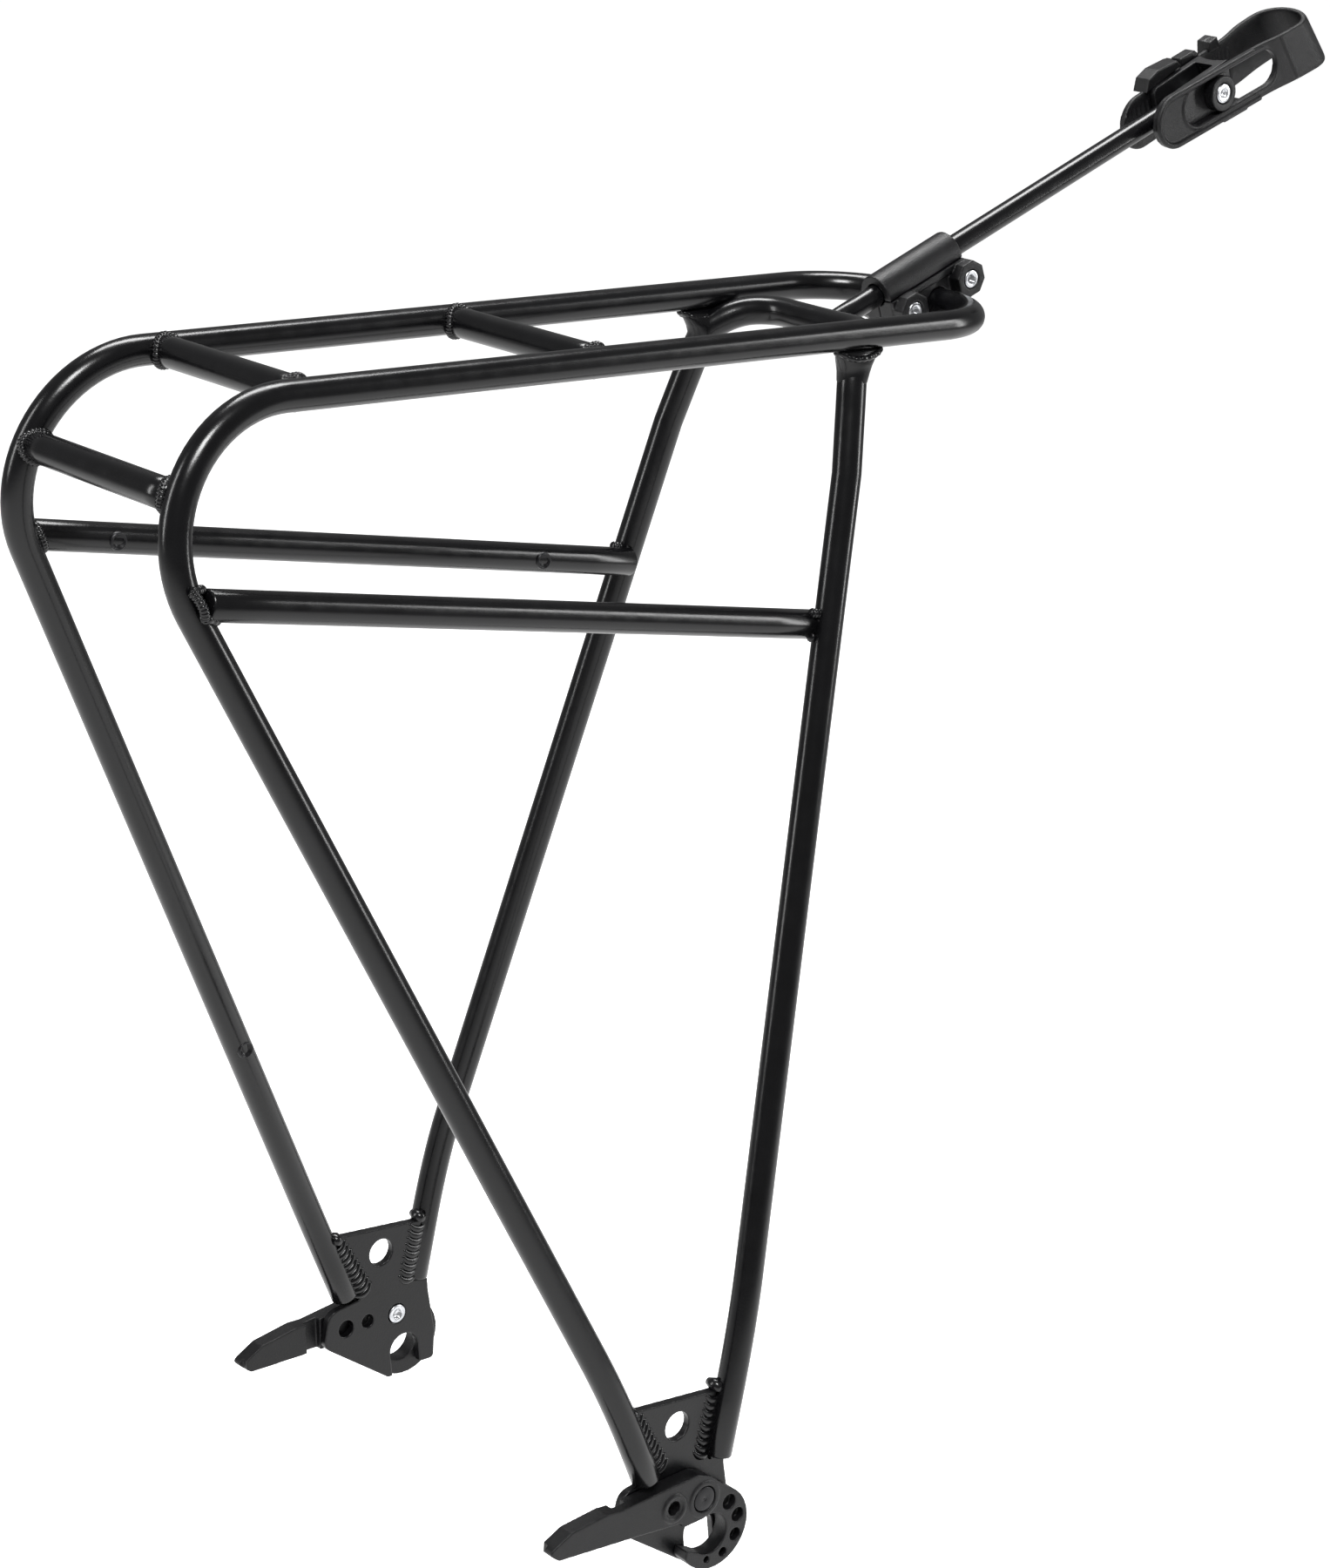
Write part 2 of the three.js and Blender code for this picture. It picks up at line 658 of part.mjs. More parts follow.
// an outline in the XY plane, as a solid between two heights, sheared along X as it rises
function prismZ(shape, zLow, zHigh, curveSegments = 10, slant = 0) {
  const geometry = new THREE.ExtrudeGeometry(shape, {
    depth: zHigh - zLow,
    bevelEnabled: false,
    curveSegments,
  });
  geometry.translate(0, 0, zLow);
  geometry.applyMatrix4(new THREE.Matrix4().makeShear(0, 0, 0, 0, slant, 0));
  return toSolid(geometry);
}

// ---------------------------------------------------------------- seat-tube clamp
// Local frame: U (x) along the strap's arms, W (z) along the seat tube, origin on the swivel screw.

function stadium(uRear, uFront, wLow, wHigh) {
  const radius = (wHigh - wLow) / 2;
  const middle = (wHigh + wLow) / 2;
  const shape = new THREE.Shape();
  shape.absarc(uFront - radius, middle, radius, -Math.PI / 2, Math.PI / 2, false);
  shape.absarc(uRear + radius, middle, radius, Math.PI / 2, Math.PI * 1.5, false);
  shape.closePath();
  return shape;
}

// plan of the strap: right arm, round front and left arm, as one band
function strapPlan(offset) {
  const arm = ARM_Y - offset;
  const loop = LOOP_R - offset;
  const flareStart = LOOP_U - 26;
  const flareEnd = LOOP_U - 6;
  const shape = new THREE.Shape();
  shape.moveTo(ARM_REAR_U - 5, -arm);
  shape.lineTo(flareStart, -arm);
  shape.bezierCurveTo(flareStart + 9, -arm, flareEnd - 9, -loop, flareEnd, -loop);
  shape.lineTo(LOOP_U, -loop);
  shape.absarc(LOOP_U, 0, loop, -Math.PI / 2, Math.PI / 2, false);
  shape.lineTo(flareEnd, loop);
  shape.bezierCurveTo(flareEnd - 9, loop, flareStart + 9, arm, flareStart, arm);
  shape.lineTo(ARM_REAR_U - 5, arm);
  shape.closePath();
  return shape;
}

function seatStrap() {
  const outer = prismZ(strapPlan(0), STRAP_LOW, STRAP_HIGH, 9, STRAP_SLANT);
  const inner = prismZ(strapPlan(STRAP_T), STRAP_LOW - 1, STRAP_HIGH + 1, 9, STRAP_SLANT);
  const side = prism(stadium(ARM_REAR_U, LOOP_U + 30, STRAP_LOW, STRAP_HIGH), -30, 30, 8);
  const window = stadium(-20, 31, -STRAP_WINDOW_HALF, STRAP_WINDOW_HALF);
  return cut(outer.intersect(side), inner, prism(window, -ARM_Y - 5, 0, 6));
}

// block between the arms: two cheeks take the strut's eye, and a hollowed face meets the seat tube
function seatClampBody() {
  const cheeks = roundedOutline([
    [-20, -8.5, 3],
    [BODY_FRONT_U, -11, 1],
    [BODY_FRONT_U, 9.5, 1],
    [-20, 7.5, 3],
  ]);
  const slot = roundedOutline([
    [-30, -14, 0],
    [-1, -14, 0],
    [5.7, -6, 3],
    [5.7, 6, 3],
    [-1, 14, 0],
    [-30, 14, 0],
  ]);
  const seat = prismZ(circleShape(BODY_FRONT_U + SEAT_TUBE_R - 3, 0, SEAT_TUBE_R), -20, 20, 24);
  return cut(
    prism(cheeks, -CHEEK_OUT, CHEEK_OUT),
    prism(slot, -CHEEK_IN, CHEEK_IN),
    seat,
    barY(0, 0, SWIVEL_R + GAP, -12, 12, 14),
  );
}

// round bush that holds the right arm on the screw and lets it slide along its window
function swivelBoss() {
  return cut(
    barY(0, 0, BOSS_R, -BUSH_FACE, -CHEEK_OUT - GAP, 24),
    barY(0, 0, SWIVEL_R + GAP, -14, 0, 14),
    barY(0, 0, SWIVEL_HEAD_R + GAP, -BUSH_FACE - 1, -BUSH_FACE + 1.4, 18),
  );
}

function swivelScrew() {
  const face = -BUSH_FACE - 0.3;
  const slots = [[2, 0.5], [0.5, 2]].map(([halfU, halfW]) => {
    const outline = roundedOutline([
      [-halfU, -halfW, 0],
      [halfU, -halfW, 0],
      [halfU, halfW, 0],
      [-halfU, halfW, 0],
    ]);
    return prism(outline, face - 1, face + 0.9);
  });
  return cut(
    join(
      barY(0, 0, SWIVEL_HEAD_R, face, -BUSH_FACE + 1.1, 18),
      barY(0, 0, SWIVEL_R, face + 1, CHEEK_OUT - 0.5, 14),
    ),
    ...slots,
  );
}

// buckle on the left arm: a plate with a cap over the strap's tail and a keeper lug ahead of it
function strapBuckle() {
  const inner = ARM_Y + GAP;
  const outer = ARM_Y + 3.2;
  const face = roundedOutline([
    [BUCKLE_REAR_U, STRAP_LOW + 1, 2],
    [BUCKLE_FRONT_U, STRAP_LOW + 1, 2],
    [BUCKLE_FRONT_U, STRAP_HIGH + 3, 0.6],
    [BUCKLE_LUG_U, STRAP_HIGH + 2.6, 0.6],
    [BUCKLE_LUG_U - 1, STRAP_HIGH - 3, 2],
    [BUCKLE_CAP_U + 1, STRAP_HIGH - 3, 2],
    [BUCKLE_CAP_U, STRAP_HIGH + 2.6, 0.6],
    [BUCKLE_REAR_U, STRAP_HIGH + 2.6, 2],
  ]);
  const tops = [
    [BUCKLE_REAR_U + 2, BUCKLE_CAP_U - 0.6],
    [BUCKLE_LUG_U + 0.6, BUCKLE_FRONT_U - 0.6],
  ];
  const hoods = tops.map(([rear, front]) => {
    const low = STRAP_HIGH + GAP;
    const high = STRAP_HIGH + 2.1;
    const hood = roundedOutline([[rear, low, 0], [front, low, 0], [front, high, 0], [rear, high, 0]]);
    return prism(hood, ARM_Y - STRAP_T, outer - 0.4);
  });
  return join(prism(face, inner, outer, 3), ...hoods);
}

// ---------------------------------------------------------------- assembly

const rack = new THREE.Group();

function piece(name, solid, material, parent = rack) {
  const geometry = solid.isBufferGeometry ? solid : toGeometry(solid);
  const mesh = new THREE.Mesh(geometry, material);
  mesh.name = name;
  parent.add(mesh);
  return mesh;
}

// a left piece and its mirror image on the right
function pair(name, solid, makeMaterial) {
  const left = toGeometry(solid);
  piece(`${name}_left`, left, makeMaterial());
  piece(`${name}_right`, mirrored(left), makeMaterial());
}

piece('main_loop', cut(mainLoop, ...accessoryHoles([rearLegPoint(LEG_HOLE_Z)])), powderCoat());
piece('front_hoop', cut(frontHoop, mainLoopSpace), powderCoat());
CROSS_TUBES.forEach((tube) => piece(tube.name, crossTube(tube), powderCoat()));
pair('lower_rail', lowerRail(), powderCoat);
pair('foot_plate', footPlate(), plateCoat);
const lever = toGeometry(latchLever());
const leverLeft = lever.clone();
leverLeft.translate(-PIVOT.x, 0, -PIVOT.y);
leverLeft.rotateY(-LEFT_LEVER_OPEN);
leverLeft.translate(PIVOT.x, 0, PIVOT.y);
piece('latch_lever_left', leverLeft, nylon());
piece('latch_lever_right', mirrored(lever), nylon());
pair('pivot_bolt', pivotBolt(), blackSteel);
pair('pivot_screw', pivotScrew(), zinc);
pair('pivot_washer', pivotWasher(), blackSteel);

const strut = new THREE.Group();
strut.position.set(NOSE_X, 0, RAIL_Z);
strut.rotation.y = -STRUT_ANGLE;
rack.add(strut);
piece('strut_rod', strutRod(), powderCoat(), strut);
piece('strut_clamp_right', clampRight(), nylon(), strut);
piece('strut_clamp_left', clampLeft(), nylon(), strut);
piece('strut_clamp_saddle', clampSaddle(), nylon(), strut);
CLAMP_BOLTS.forEach((place) => {
  piece(`clamp_bolt_${place.name}`, clampBolt(place), zinc(), strut);
  piece(`clamp_nut_${place.name}`, clampNut(place), zinc(), strut);
});

const head = new THREE.Group();
head.position.set(STRUT_START + STRUT_LENGTH, 0, STRUT_LIFT);
head.rotation.y = -HEAD_TILT;
strut.add(head);
piece('seat_clamp_body', seatClampBody(), nylon(), head);
piece('seat_strap', seatStrap(), rubbery(), head);
piece('strap_buckle', strapBuckle(), nylon(), head);
piece('swivel_boss', swivelBoss(), nylon(), head);
piece('swivel_screw', swivelScrew(), zinc(), head);

export default rack;
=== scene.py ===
import json
import math

import bmesh
import bpy
from mathutils import Matrix, Vector


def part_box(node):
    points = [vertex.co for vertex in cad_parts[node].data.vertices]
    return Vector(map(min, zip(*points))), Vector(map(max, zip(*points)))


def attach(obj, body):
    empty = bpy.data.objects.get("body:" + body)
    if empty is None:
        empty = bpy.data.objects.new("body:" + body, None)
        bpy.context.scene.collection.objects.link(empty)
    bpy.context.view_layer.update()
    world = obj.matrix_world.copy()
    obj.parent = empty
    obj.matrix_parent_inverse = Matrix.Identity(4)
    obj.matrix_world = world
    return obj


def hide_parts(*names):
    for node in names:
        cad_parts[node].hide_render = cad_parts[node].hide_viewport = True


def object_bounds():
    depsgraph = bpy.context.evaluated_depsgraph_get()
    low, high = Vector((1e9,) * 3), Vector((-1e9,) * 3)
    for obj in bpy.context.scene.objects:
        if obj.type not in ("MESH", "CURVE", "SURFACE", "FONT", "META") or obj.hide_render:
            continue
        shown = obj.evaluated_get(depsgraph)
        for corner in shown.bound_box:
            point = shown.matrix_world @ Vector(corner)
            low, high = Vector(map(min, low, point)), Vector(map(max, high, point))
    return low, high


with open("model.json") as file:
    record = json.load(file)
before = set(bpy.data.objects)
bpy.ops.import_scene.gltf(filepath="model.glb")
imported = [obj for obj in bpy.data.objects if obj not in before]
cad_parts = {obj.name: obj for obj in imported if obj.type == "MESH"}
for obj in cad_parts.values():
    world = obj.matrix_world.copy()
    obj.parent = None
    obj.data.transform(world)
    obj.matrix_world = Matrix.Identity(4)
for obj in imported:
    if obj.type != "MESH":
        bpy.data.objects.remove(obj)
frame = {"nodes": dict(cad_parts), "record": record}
cad_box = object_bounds()

MM = 0.001

# ---------------------------------------------------------------- camera

# Lens, place and directions are fitted to the edges of the rack's tubes.
camera_data = bpy.data.cameras.new("camera")
camera_data.lens = 86.68
camera_data.sensor_width = 36.0
camera_data.clip_end = 50.0
camera = bpy.data.objects.new("camera", camera_data)
right = Vector((0.76033, -0.64741, 0.05260))
up = Vector((0.15495, 0.25943, 0.95325))
back = right.cross(up).normalized()
up = back.cross(right).normalized()
camera.matrix_world = Matrix.Translation((-0.79385, -0.94976, 0.63468)) @ Matrix(
    (right.normalized(), up, back)).transposed().to_4x4()
bpy.context.scene.collection.objects.link(camera)
bpy.context.scene.camera = camera

# ---------------------------------------------------------------- measures shared with the model

TUBE_R = 5.1
NOSE_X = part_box("main_loop")[1][0] / MM - TUBE_R
RAIL_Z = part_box("main_loop")[1][2] / MM - TUBE_R
NOSE_R = 30.5
RAIL_Y_REAR = 38.9
RAIL_Y_FRONT = 41.0
LEG_FOOT_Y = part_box("main_loop")[1][1] / MM - TUBE_R
LEG_END_Z = 27.3
LEG_SPLAY = 0.1435  # outward travel of a leg for each millimetre of drop
LEG_TOE = 2.0
# Each leg's line: x at the rails' height, x gained for each millimetre of drop, y at the rails' height.
REAR_LEG = (-220.5, 0.522, 38.1)
FRONT_LEG = (85.1, -0.215, 40.0)
REAR_BEND_R = 42.0
BOW_X = 102.0
BOW_DROP = 4.2
# x, and height above the rails
CROSS_TUBES = {"cross_tube_rear": (-190.3, -26.7), "cross_tube_middle": (-145.3, 0.0),
               "cross_tube_front": (-29.6, 0.0)}
LOWER_REAR = Vector((-186.0, 49.7, 346.2))
LOWER_FRONT = Vector((62.0, 48.8, 307.3))
PLATE_IN = 83.5
PLATE_OUT = 86.7
LEVER_OUT = 93.4
PIVOT = (-4.1, 15.8)
LOCK_HOLE = (-17.6, 16.2)
LOBE = (-27.5, 15.7)
WINDOW = (-12.4, 43.0)
RING = (1.5, 2.7)
ACCESSORY_X = (-155.9, 18.6)
ACCESSORY_LEG_Z = 144
STRUT_ANGLE = math.radians(22.1)
STRUT_LIFT = 12.1
STRUT_START = -41.5
STRUT_LENGTH = 194.5
STRUT_R = 3.9
HEAD_TILT = math.radians(-2.1)
# Bolt places in the strut's frame, as (x, z).
CLAMP_BOLTS = {"front": (13.2, 3.7), "rear": (-15.1, 4.9)}
BOSS_FACE = 12.0
ARM_Y = 10.0
STRAP_LOW = -10.8
STRAP_HIGH = 9.4

STRUT = Matrix.Translation((NOSE_X, 0, RAIL_Z)) @ Matrix.Rotation(-STRUT_ANGLE, 4, "Y")
HEAD = STRUT @ Matrix.Translation((STRUT_START + STRUT_LENGTH, 0, STRUT_LIFT)) @ Matrix.Rotation(
    -HEAD_TILT, 4, "Y")

# ---------------------------------------------------------------- materials


def coated(name, color, rough, grain, grain_depth, gleam, metallic=0.0):
    """A dark finish: soft colour drift, uneven gloss, a painted highlight on convex edges and a fine
    raised grain.
    """
    material = bpy.data.materials.new(name)
    material.use_nodes = True
    nodes = material.node_tree.nodes
    link = material.node_tree.links.new
    shader = nodes["Principled BSDF"]
    shader.inputs["Metallic"].default_value = metallic
    shader.inputs["Specular IOR Level"].default_value = gleam
    place = nodes.new("ShaderNodeTexCoord")

    drift = nodes.new("ShaderNodeTexNoise")
    drift.inputs["Scale"].default_value = 38.0
    drift.inputs["Detail"].default_value = 5.0
    link(place.outputs["Object"], drift.inputs["Vector"])
    shade = nodes.new("ShaderNodeValToRGB")
    shade.color_ramp.elements[0].position = 0.3
    shade.color_ramp.elements[0].color = (*(c * 0.72 for c in color), 1)
    shade.color_ramp.elements[1].position = 0.75
    shade.color_ramp.elements[1].color = (*(c * 1.35 for c in color), 1)
    link(drift.outputs["Fac"], shade.inputs["Fac"])

    # Painted highlight: convex edges, found by pointiness, are painted lighter to stand in for light
    # catching them.
    edges = nodes.new("ShaderNodeNewGeometry")
    edge_highlight_mask = nodes.new("ShaderNodeMapRange")
    edge_highlight_mask.inputs["From Min"].default_value = 0.53
    edge_highlight_mask.inputs["From Max"].default_value = 0.62
    edge_highlight_mask.inputs["To Max"].default_value = 0.5
    link(edges.outputs["Pointiness"], edge_highlight_mask.inputs["Value"])
    painted_edge_highlight = nodes.new("ShaderNodeMix")
    painted_edge_highlight.data_type = "RGBA"
    link(edge_highlight_mask.outputs["Result"], painted_edge_highlight.inputs["Factor"])
    link(shade.outputs["Color"], painted_edge_highlight.inputs["A"])
    painted_edge_highlight.inputs["B"].default_value = (*(c * 2.2 + 0.004 for c in color), 1)
    link(painted_edge_highlight.outputs["Result"], shader.inputs["Base Color"])

    sheen = nodes.new("ShaderNodeTexNoise")
    sheen.inputs["Scale"].default_value = 160.0
    sheen.inputs["Detail"].default_value = 3.0
    link(place.outputs["Object"], sheen.inputs["Vector"])
    gloss = nodes.new("ShaderNodeMapRange")
    gloss.inputs["To Min"].default_value = rough - 0.07
    gloss.inputs["To Max"].default_value = rough + 0.09
    link(sheen.outputs["Fac"], gloss.inputs["Value"])
    link(gloss.outputs["Result"], shader.inputs["Roughness"])

    peel = nodes.new("ShaderNodeTexNoise")
    peel.inputs["Scale"].default_value = grain
    peel.inputs["Detail"].default_value = 2.0
    link(place.outputs["Object"], peel.inputs["Vector"])
    bump = nodes.new("ShaderNodeBump")
    bump.inputs["Strength"].default_value = grain_depth
    bump.inputs["Distance"].default_value = 0.0004
    link(peel.outputs["Fac"], bump.inputs["Height"])
    link(bump.outputs["Normal"], shader.inputs["Normal"])
    return material


def bright_steel():
    """Machined stainless steel, with light smudges."""
    material = bpy.data.materials.new("bright_steel")
    material.use_nodes = True
    nodes = material.node_tree.nodes
    link = material.node_tree.links.new
    shader = nodes["Principled BSDF"]
    shader.inputs["Metallic"].default_value = 1.0
    place = nodes.new("ShaderNodeTexCoord")
    smudge = nodes.new("ShaderNodeTexNoise")
    smudge.inputs["Scale"].default_value = 420.0
    smudge.inputs["Detail"].default_value = 4.0
    link(place.outputs["Object"], smudge.inputs["Vector"])
    tone = nodes.new("ShaderNodeValToRGB")
    tone.color_ramp.elements[0].position = 0.3
    tone.color_ramp.elements[0].color = (0.42, 0.43, 0.45, 1)
    tone.color_ramp.elements[1].position = 0.7
    tone.color_ramp.elements[1].color = (0.72, 0.73, 0.75, 1)
    link(smudge.outputs["Fac"], tone.inputs["Fac"])
    link(tone.outputs["Color"], shader.inputs["Base Color"])
    gloss = nodes.new("ShaderNodeMapRange")
    gloss.inputs["To Min"].default_value = 0.2
    gloss.inputs["To Max"].default_value = 0.42
    link(smudge.outputs["Fac"], gloss.inputs["Value"])
    link(gloss.outputs["Result"], shader.inputs["Roughness"])
    return material


FINISH = {
    "powder_coat": coated("powder_coat", (0.0022, 0.0022, 0.0026), rough=0.21,
                          grain=1500.0, grain_depth=0.05, gleam=0.34),
    "plate_coat": coated("plate_coat", (0.003, 0.003, 0.0035), rough=0.3,
                         grain=1300.0, grain_depth=0.1, gleam=0.3),
    "nylon": coated("nylon", (0.0035, 0.0035, 0.004), rough=0.38,
                    grain=2600.0, grain_depth=0.3, gleam=0.28),
    "strap_rubber": coated("strap_rubber", (0.0032, 0.0032, 0.0037), rough=0.42,
                           grain=3000.0, grain_depth=0.4, gleam=0.28),
    "black_steel": coated("black_steel", (0.008, 0.008, 0.009), rough=0.34,
                          grain=2200.0, grain_depth=0.1, gleam=0.3, metallic=0.3),
    "bright_steel": bright_steel(),
}

# ---------------------------------------------------------------- mesh helpers


def as_mesh(name, parts, place):
    """One mesh from (points, faces) parts given in millimetres, with its faces turned outward."""
    mesh = bpy.data.meshes.new(name)
    points = []
    faces = []
    for part_points, part_faces in parts:
        start = len(points)
        points.extend((place @ Vector(p)) * MM for p in part_points)
        faces.extend([[start + i for i in f] for f in part_faces])
    mesh.from_pydata(points, [], faces)
    turned = bmesh.new()
    turned.from_mesh(mesh)
    bmesh.ops.recalc_face_normals(turned, faces=turned.faces)
    turned.to_mesh(mesh)
    turned.free()
    return mesh


def new_piece(name, parts, body, slot, replaced=(), place=None):
    """One object from (points, faces) parts given in millimetres, riding on a CAD body."""
    mesh = as_mesh(name, parts, place or Matrix())
    mesh.shade_smooth()
    piece = bpy.data.objects.new(name, mesh)
    bpy.context.scene.collection.objects.link(piece)
    finish_piece(piece, body, slot, replaced)
    return piece


def finish_piece(piece, body, slot, replaced):
    piece.data.materials.clear()
    piece.data.materials.append(FINISH[slot])
    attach(piece, body)
    if replaced:
        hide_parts(*replaced)


def stack(rings):
    """Quads between rings of equally many points, with a fan closing each end."""
    count = len(rings[0])
    points = [point for ring in rings for point in ring]
    faces = []
    for k in range(len(rings) - 1):
        for i in range(count):
            j = (i + 1) % count
            faces.append([k * count + i, k * count + j, (k + 1) * count + j, (k + 1) * count + i])
    for ring, base in ((rings[0], 0), (rings[-1], (len(rings) - 1) * count)):
        middle = sum((Vector(p) for p in ring), Vector()) / count
        points.append(middle)
        faces.extend([[base + i, base + (i + 1) % count, len(points) - 1] for i in range(count)])
    return points, faces


def sweep(path, radius, sides=32, closed=False):
    """A tube along a path. radius is a number or a list, one per point."""
    count = len(path)
    radii = radius if isinstance(radius, list) else [radius] * count
    rings = []
    normal = None
    for i, point in enumerate(path):
        before = path[(i - 1) % count] if closed else path[max(i - 1, 0)]
        after = path[(i + 1) % count] if closed else path[min(i + 1, count - 1)]
        along = (after - before).normalized()
        if normal is None:
            normal = along.orthogonal().normalized()
        normal = (normal - along * normal.dot(along)).normalized()
        side = along.cross(normal)
        rings.append([
            point + (normal * math.cos(a) + side * math.sin(a)) * radii[i]
            for a in (2 * math.pi * k / sides for k in range(sides))
        ])
    if not closed:
        return stack(rings)
    points = [p for ring in rings for p in ring]
    faces = []
    first = rings[0][0]
    shift = min(range(sides), key=lambda k: (rings[-1][k] - first).length)
    for k in range(count):
        turn = shift if k == count - 1 else 0
        for i in range(sides):
            j = (i + 1) % sides
            low, high = k * sides, ((k + 1) % count) * sides
            if k == count - 1:
                faces.append([low + (i + turn) % sides, low + (j + turn) % sides, high + j, high + i])
            else:
                faces.append([low + i, low + j, high + j, high + i])
    return points, faces


def rounded_ends(path, radius, rim=0.7, dish=0.4):
    """Path and radii for a cut tube whose ends have a rounded rim."""
    start = (path[1] - path[0]).normalized()
    end = (path[-2] - path[-1]).normalized()
    steps = [(dish, 0.35), (0.0, radius - 1.6 * rim), (0.0, radius - rim), (0.3 * rim, radius - 0.3 * rim)]
    head = [(path[0] + start * depth, r) for depth, r in steps] + [(path[0] + start * rim, radius)]
    tail = [(path[-1] + end * depth, r) for depth, r in steps] + [(path[-1] + end * rim, radius)]
    middle = [(p, radius) for p in path[1:-1]]
    whole = head + middle + tail[::-1]
    return [p for p, r in whole], [r for p, r in whole]


def catmull(points, steps):
    """A smooth curve through the points."""
    full = [points[0] * 2 - points[1], *points, points[-1] * 2 - points[-2]]
    out = []
    for i in range(1, len(full) - 2):
        a, b, c, d = full[i - 1:i + 3]
        for k in range(steps):
            t = k / steps
            out.append(0.5 * ((2 * b) + (c - a) * t + (2 * a - 5 * b + 4 * c - d) * t * t
                              + (3 * b - a - 3 * c + d) * t ** 3))
    out.append(points[-1])
    return out


def flip(point):
    return Vector((point.x, -point.y, point.z))


# ---------------------------------------------------------------- frame tubes


def leg_point(leg, z):
    top_x, slope, top_y = leg
    down = RAIL_Z - z
    return Vector((top_x + slope * down, min(top_y + LEG_SPLAY * down, LEG_FOOT_Y), z))


def leg_foot(leg, toe):
    """The lower leg, with a soft bend where it turns parallel to the foot plate."""
    bend_z = RAIL_Z - (LEG_FOOT_Y - leg[2]) / LEG_SPLAY
    end = leg_point(leg, LEG_END_Z)
    end.x += toe
    corner = leg_point(leg, bend_z)
    low = end.lerp(corner, 0.45)
    high = leg_point(leg, bend_z + 18)
    curve = [low.lerp(corner, t).lerp(corner.lerp(high, t), t) for t in (k / 10 for k in range(11))]
    return [end, *curve]


def rear_bend(steps):
    top_x, slope, _ = REAR_LEG
    turn = math.atan2(1, -slope)
    centre_x = top_x + REAR_BEND_R * math.tan(turn / 2)
    centre_z = RAIL_Z - REAR_BEND_R
    low = leg_point(REAR_LEG, centre_z + REAR_BEND_R * math.cos(turn))
    reach = LEG_SPLAY * REAR_BEND_R * turn / 3.4
    out = []
    for i in range(steps + 1):
        t = i / steps
        angle = math.pi / 2 + turn * (1 - t)
        y = (low.y * (1 - t) ** 3 + 3 * (low.y - reach) * t * (1 - t) ** 2
             + 3 * RAIL_Y_REAR * t * t * (1 - t) + RAIL_Y_REAR * t ** 3)
        out.append(Vector((centre_x + REAR_BEND_R * math.cos(angle), y,
                           centre_z + REAR_BEND_R * math.sin(angle))))
    return out


def nose_corner(steps):
    out = []
    for i in range(steps + 1):
        angle = math.pi / 2 * (1 - i / steps)
        out.append(Vector((NOSE_X - NOSE_R + NOSE_R * math.cos(angle),
                           RAIL_Y_FRONT - NOSE_R + NOSE_R * math.sin(angle), RAIL_Z)))
    return out


def both_sides(left, shared):
    other = left[:-1] if shared else left
    return left + [flip(p) for p in other][::-1]


main_path = both_sides(leg_foot(REAR_LEG, -LEG_TOE) + rear_bend(26) + nose_corner(18), False)
path, radii = rounded_ends(main_path, TUBE_R)
new_piece("main_loop_tube", [sweep(path, radii, 40)], "rack", "powder_coat", ["main_loop"])

bow = catmull([
    leg_point(FRONT_LEG, RAIL_Z - 46),
    Vector((BOW_X - 22.5, 41.8, RAIL_Z - 26)),
    Vector((BOW_X - 19.6, 38.7, RAIL_Z - 13.5)),
    Vector((BOW_X - 14.5, 35.2, RAIL_Z - 8.5)),
    Vector((BOW_X - 7.5, 29.8, RAIL_Z - 5)),
    Vector((BOW_X - 1.5, 21, RAIL_Z - BOW_DROP + 0.3)),
    Vector((BOW_X - 0.2, 10, RAIL_Z - BOW_DROP + 0.1)),
    Vector((BOW_X, 0, RAIL_Z - BOW_DROP)),
], 6)
hoop_path = both_sides(leg_foot(FRONT_LEG, LEG_TOE) + bow, True)
path, radii = rounded_ends(hoop_path, TUBE_R)
new_piece("front_hoop_tube", [sweep(path, radii, 40)], "rack", "powder_coat", ["front_hoop"])

for name, (x, lift) in CROSS_TUBES.items():
    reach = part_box(name)[1][1] / MM + 1.2
    z = RAIL_Z + lift
    line = [Vector((x, -reach + 2 * reach * k / 8, z)) for k in range(9)]
    new_piece(name + "_tube", [sweep(line, TUBE_R, 40)], "rack", "powder_coat", [name])

for side, sign in (("left", 1), ("right", -1)):
    ends = [Vector((p.x, p.y * sign, p.z)) for p in (LOWER_REAR, LOWER_FRONT)]
    line = [ends[0].lerp(ends[1], k / 12) for k in range(13)]
    path, radii = rounded_ends(line, TUBE_R)
    new_piece(f"lower_rail_{side}_tube", [sweep(path, radii, 40)], "rack", "powder_coat",
              [f"lower_rail_{side}"])

line = [Vector((STRUT_START + (STRUT_LENGTH - 6) * k / 20, 0, STRUT_LIFT)) for k in range(21)]
path, radii = rounded_ends(line, STRUT_R, 0.6)
new_piece("strut_rod_tube", [sweep(path, radii, 40)], "strut", "powder_coat", ["strut_rod"], STRUT)

# ---------------------------------------------------------------- welds


def bead_radii(count, pitch_points, size):
    """The overlapping ripples of a hand-laid weld."""
    return [size * (0.80 + 0.26 * abs(math.sin(math.pi * k / pitch_points))) for k in range(count)]


def around_tube(centre, along, radius, other, other_along, other_radius, steps=150):
    """The closed line where a tube meets another one: on its own skin, as far as the other's skin."""
    first = along.orthogonal().normalized()
    second = along.cross(first)
    line = []
    for k in range(steps):
        angle = 2 * math.pi * k / steps
        start = centre + (first * math.cos(angle) + second * math.sin(angle)) * radius
        gap = start - other
        gap -= other_along * gap.dot(other_along)
        step = along - other_along * along.dot(other_along)
        a, b, c = step.dot(step), 2 * gap.dot(step), gap.dot(gap) - other_radius ** 2
        root = max(b * b - 4 * a * c, 0.0)
        line.append(start + along * ((-b - math.sqrt(root)) / (2 * a)))
    return line


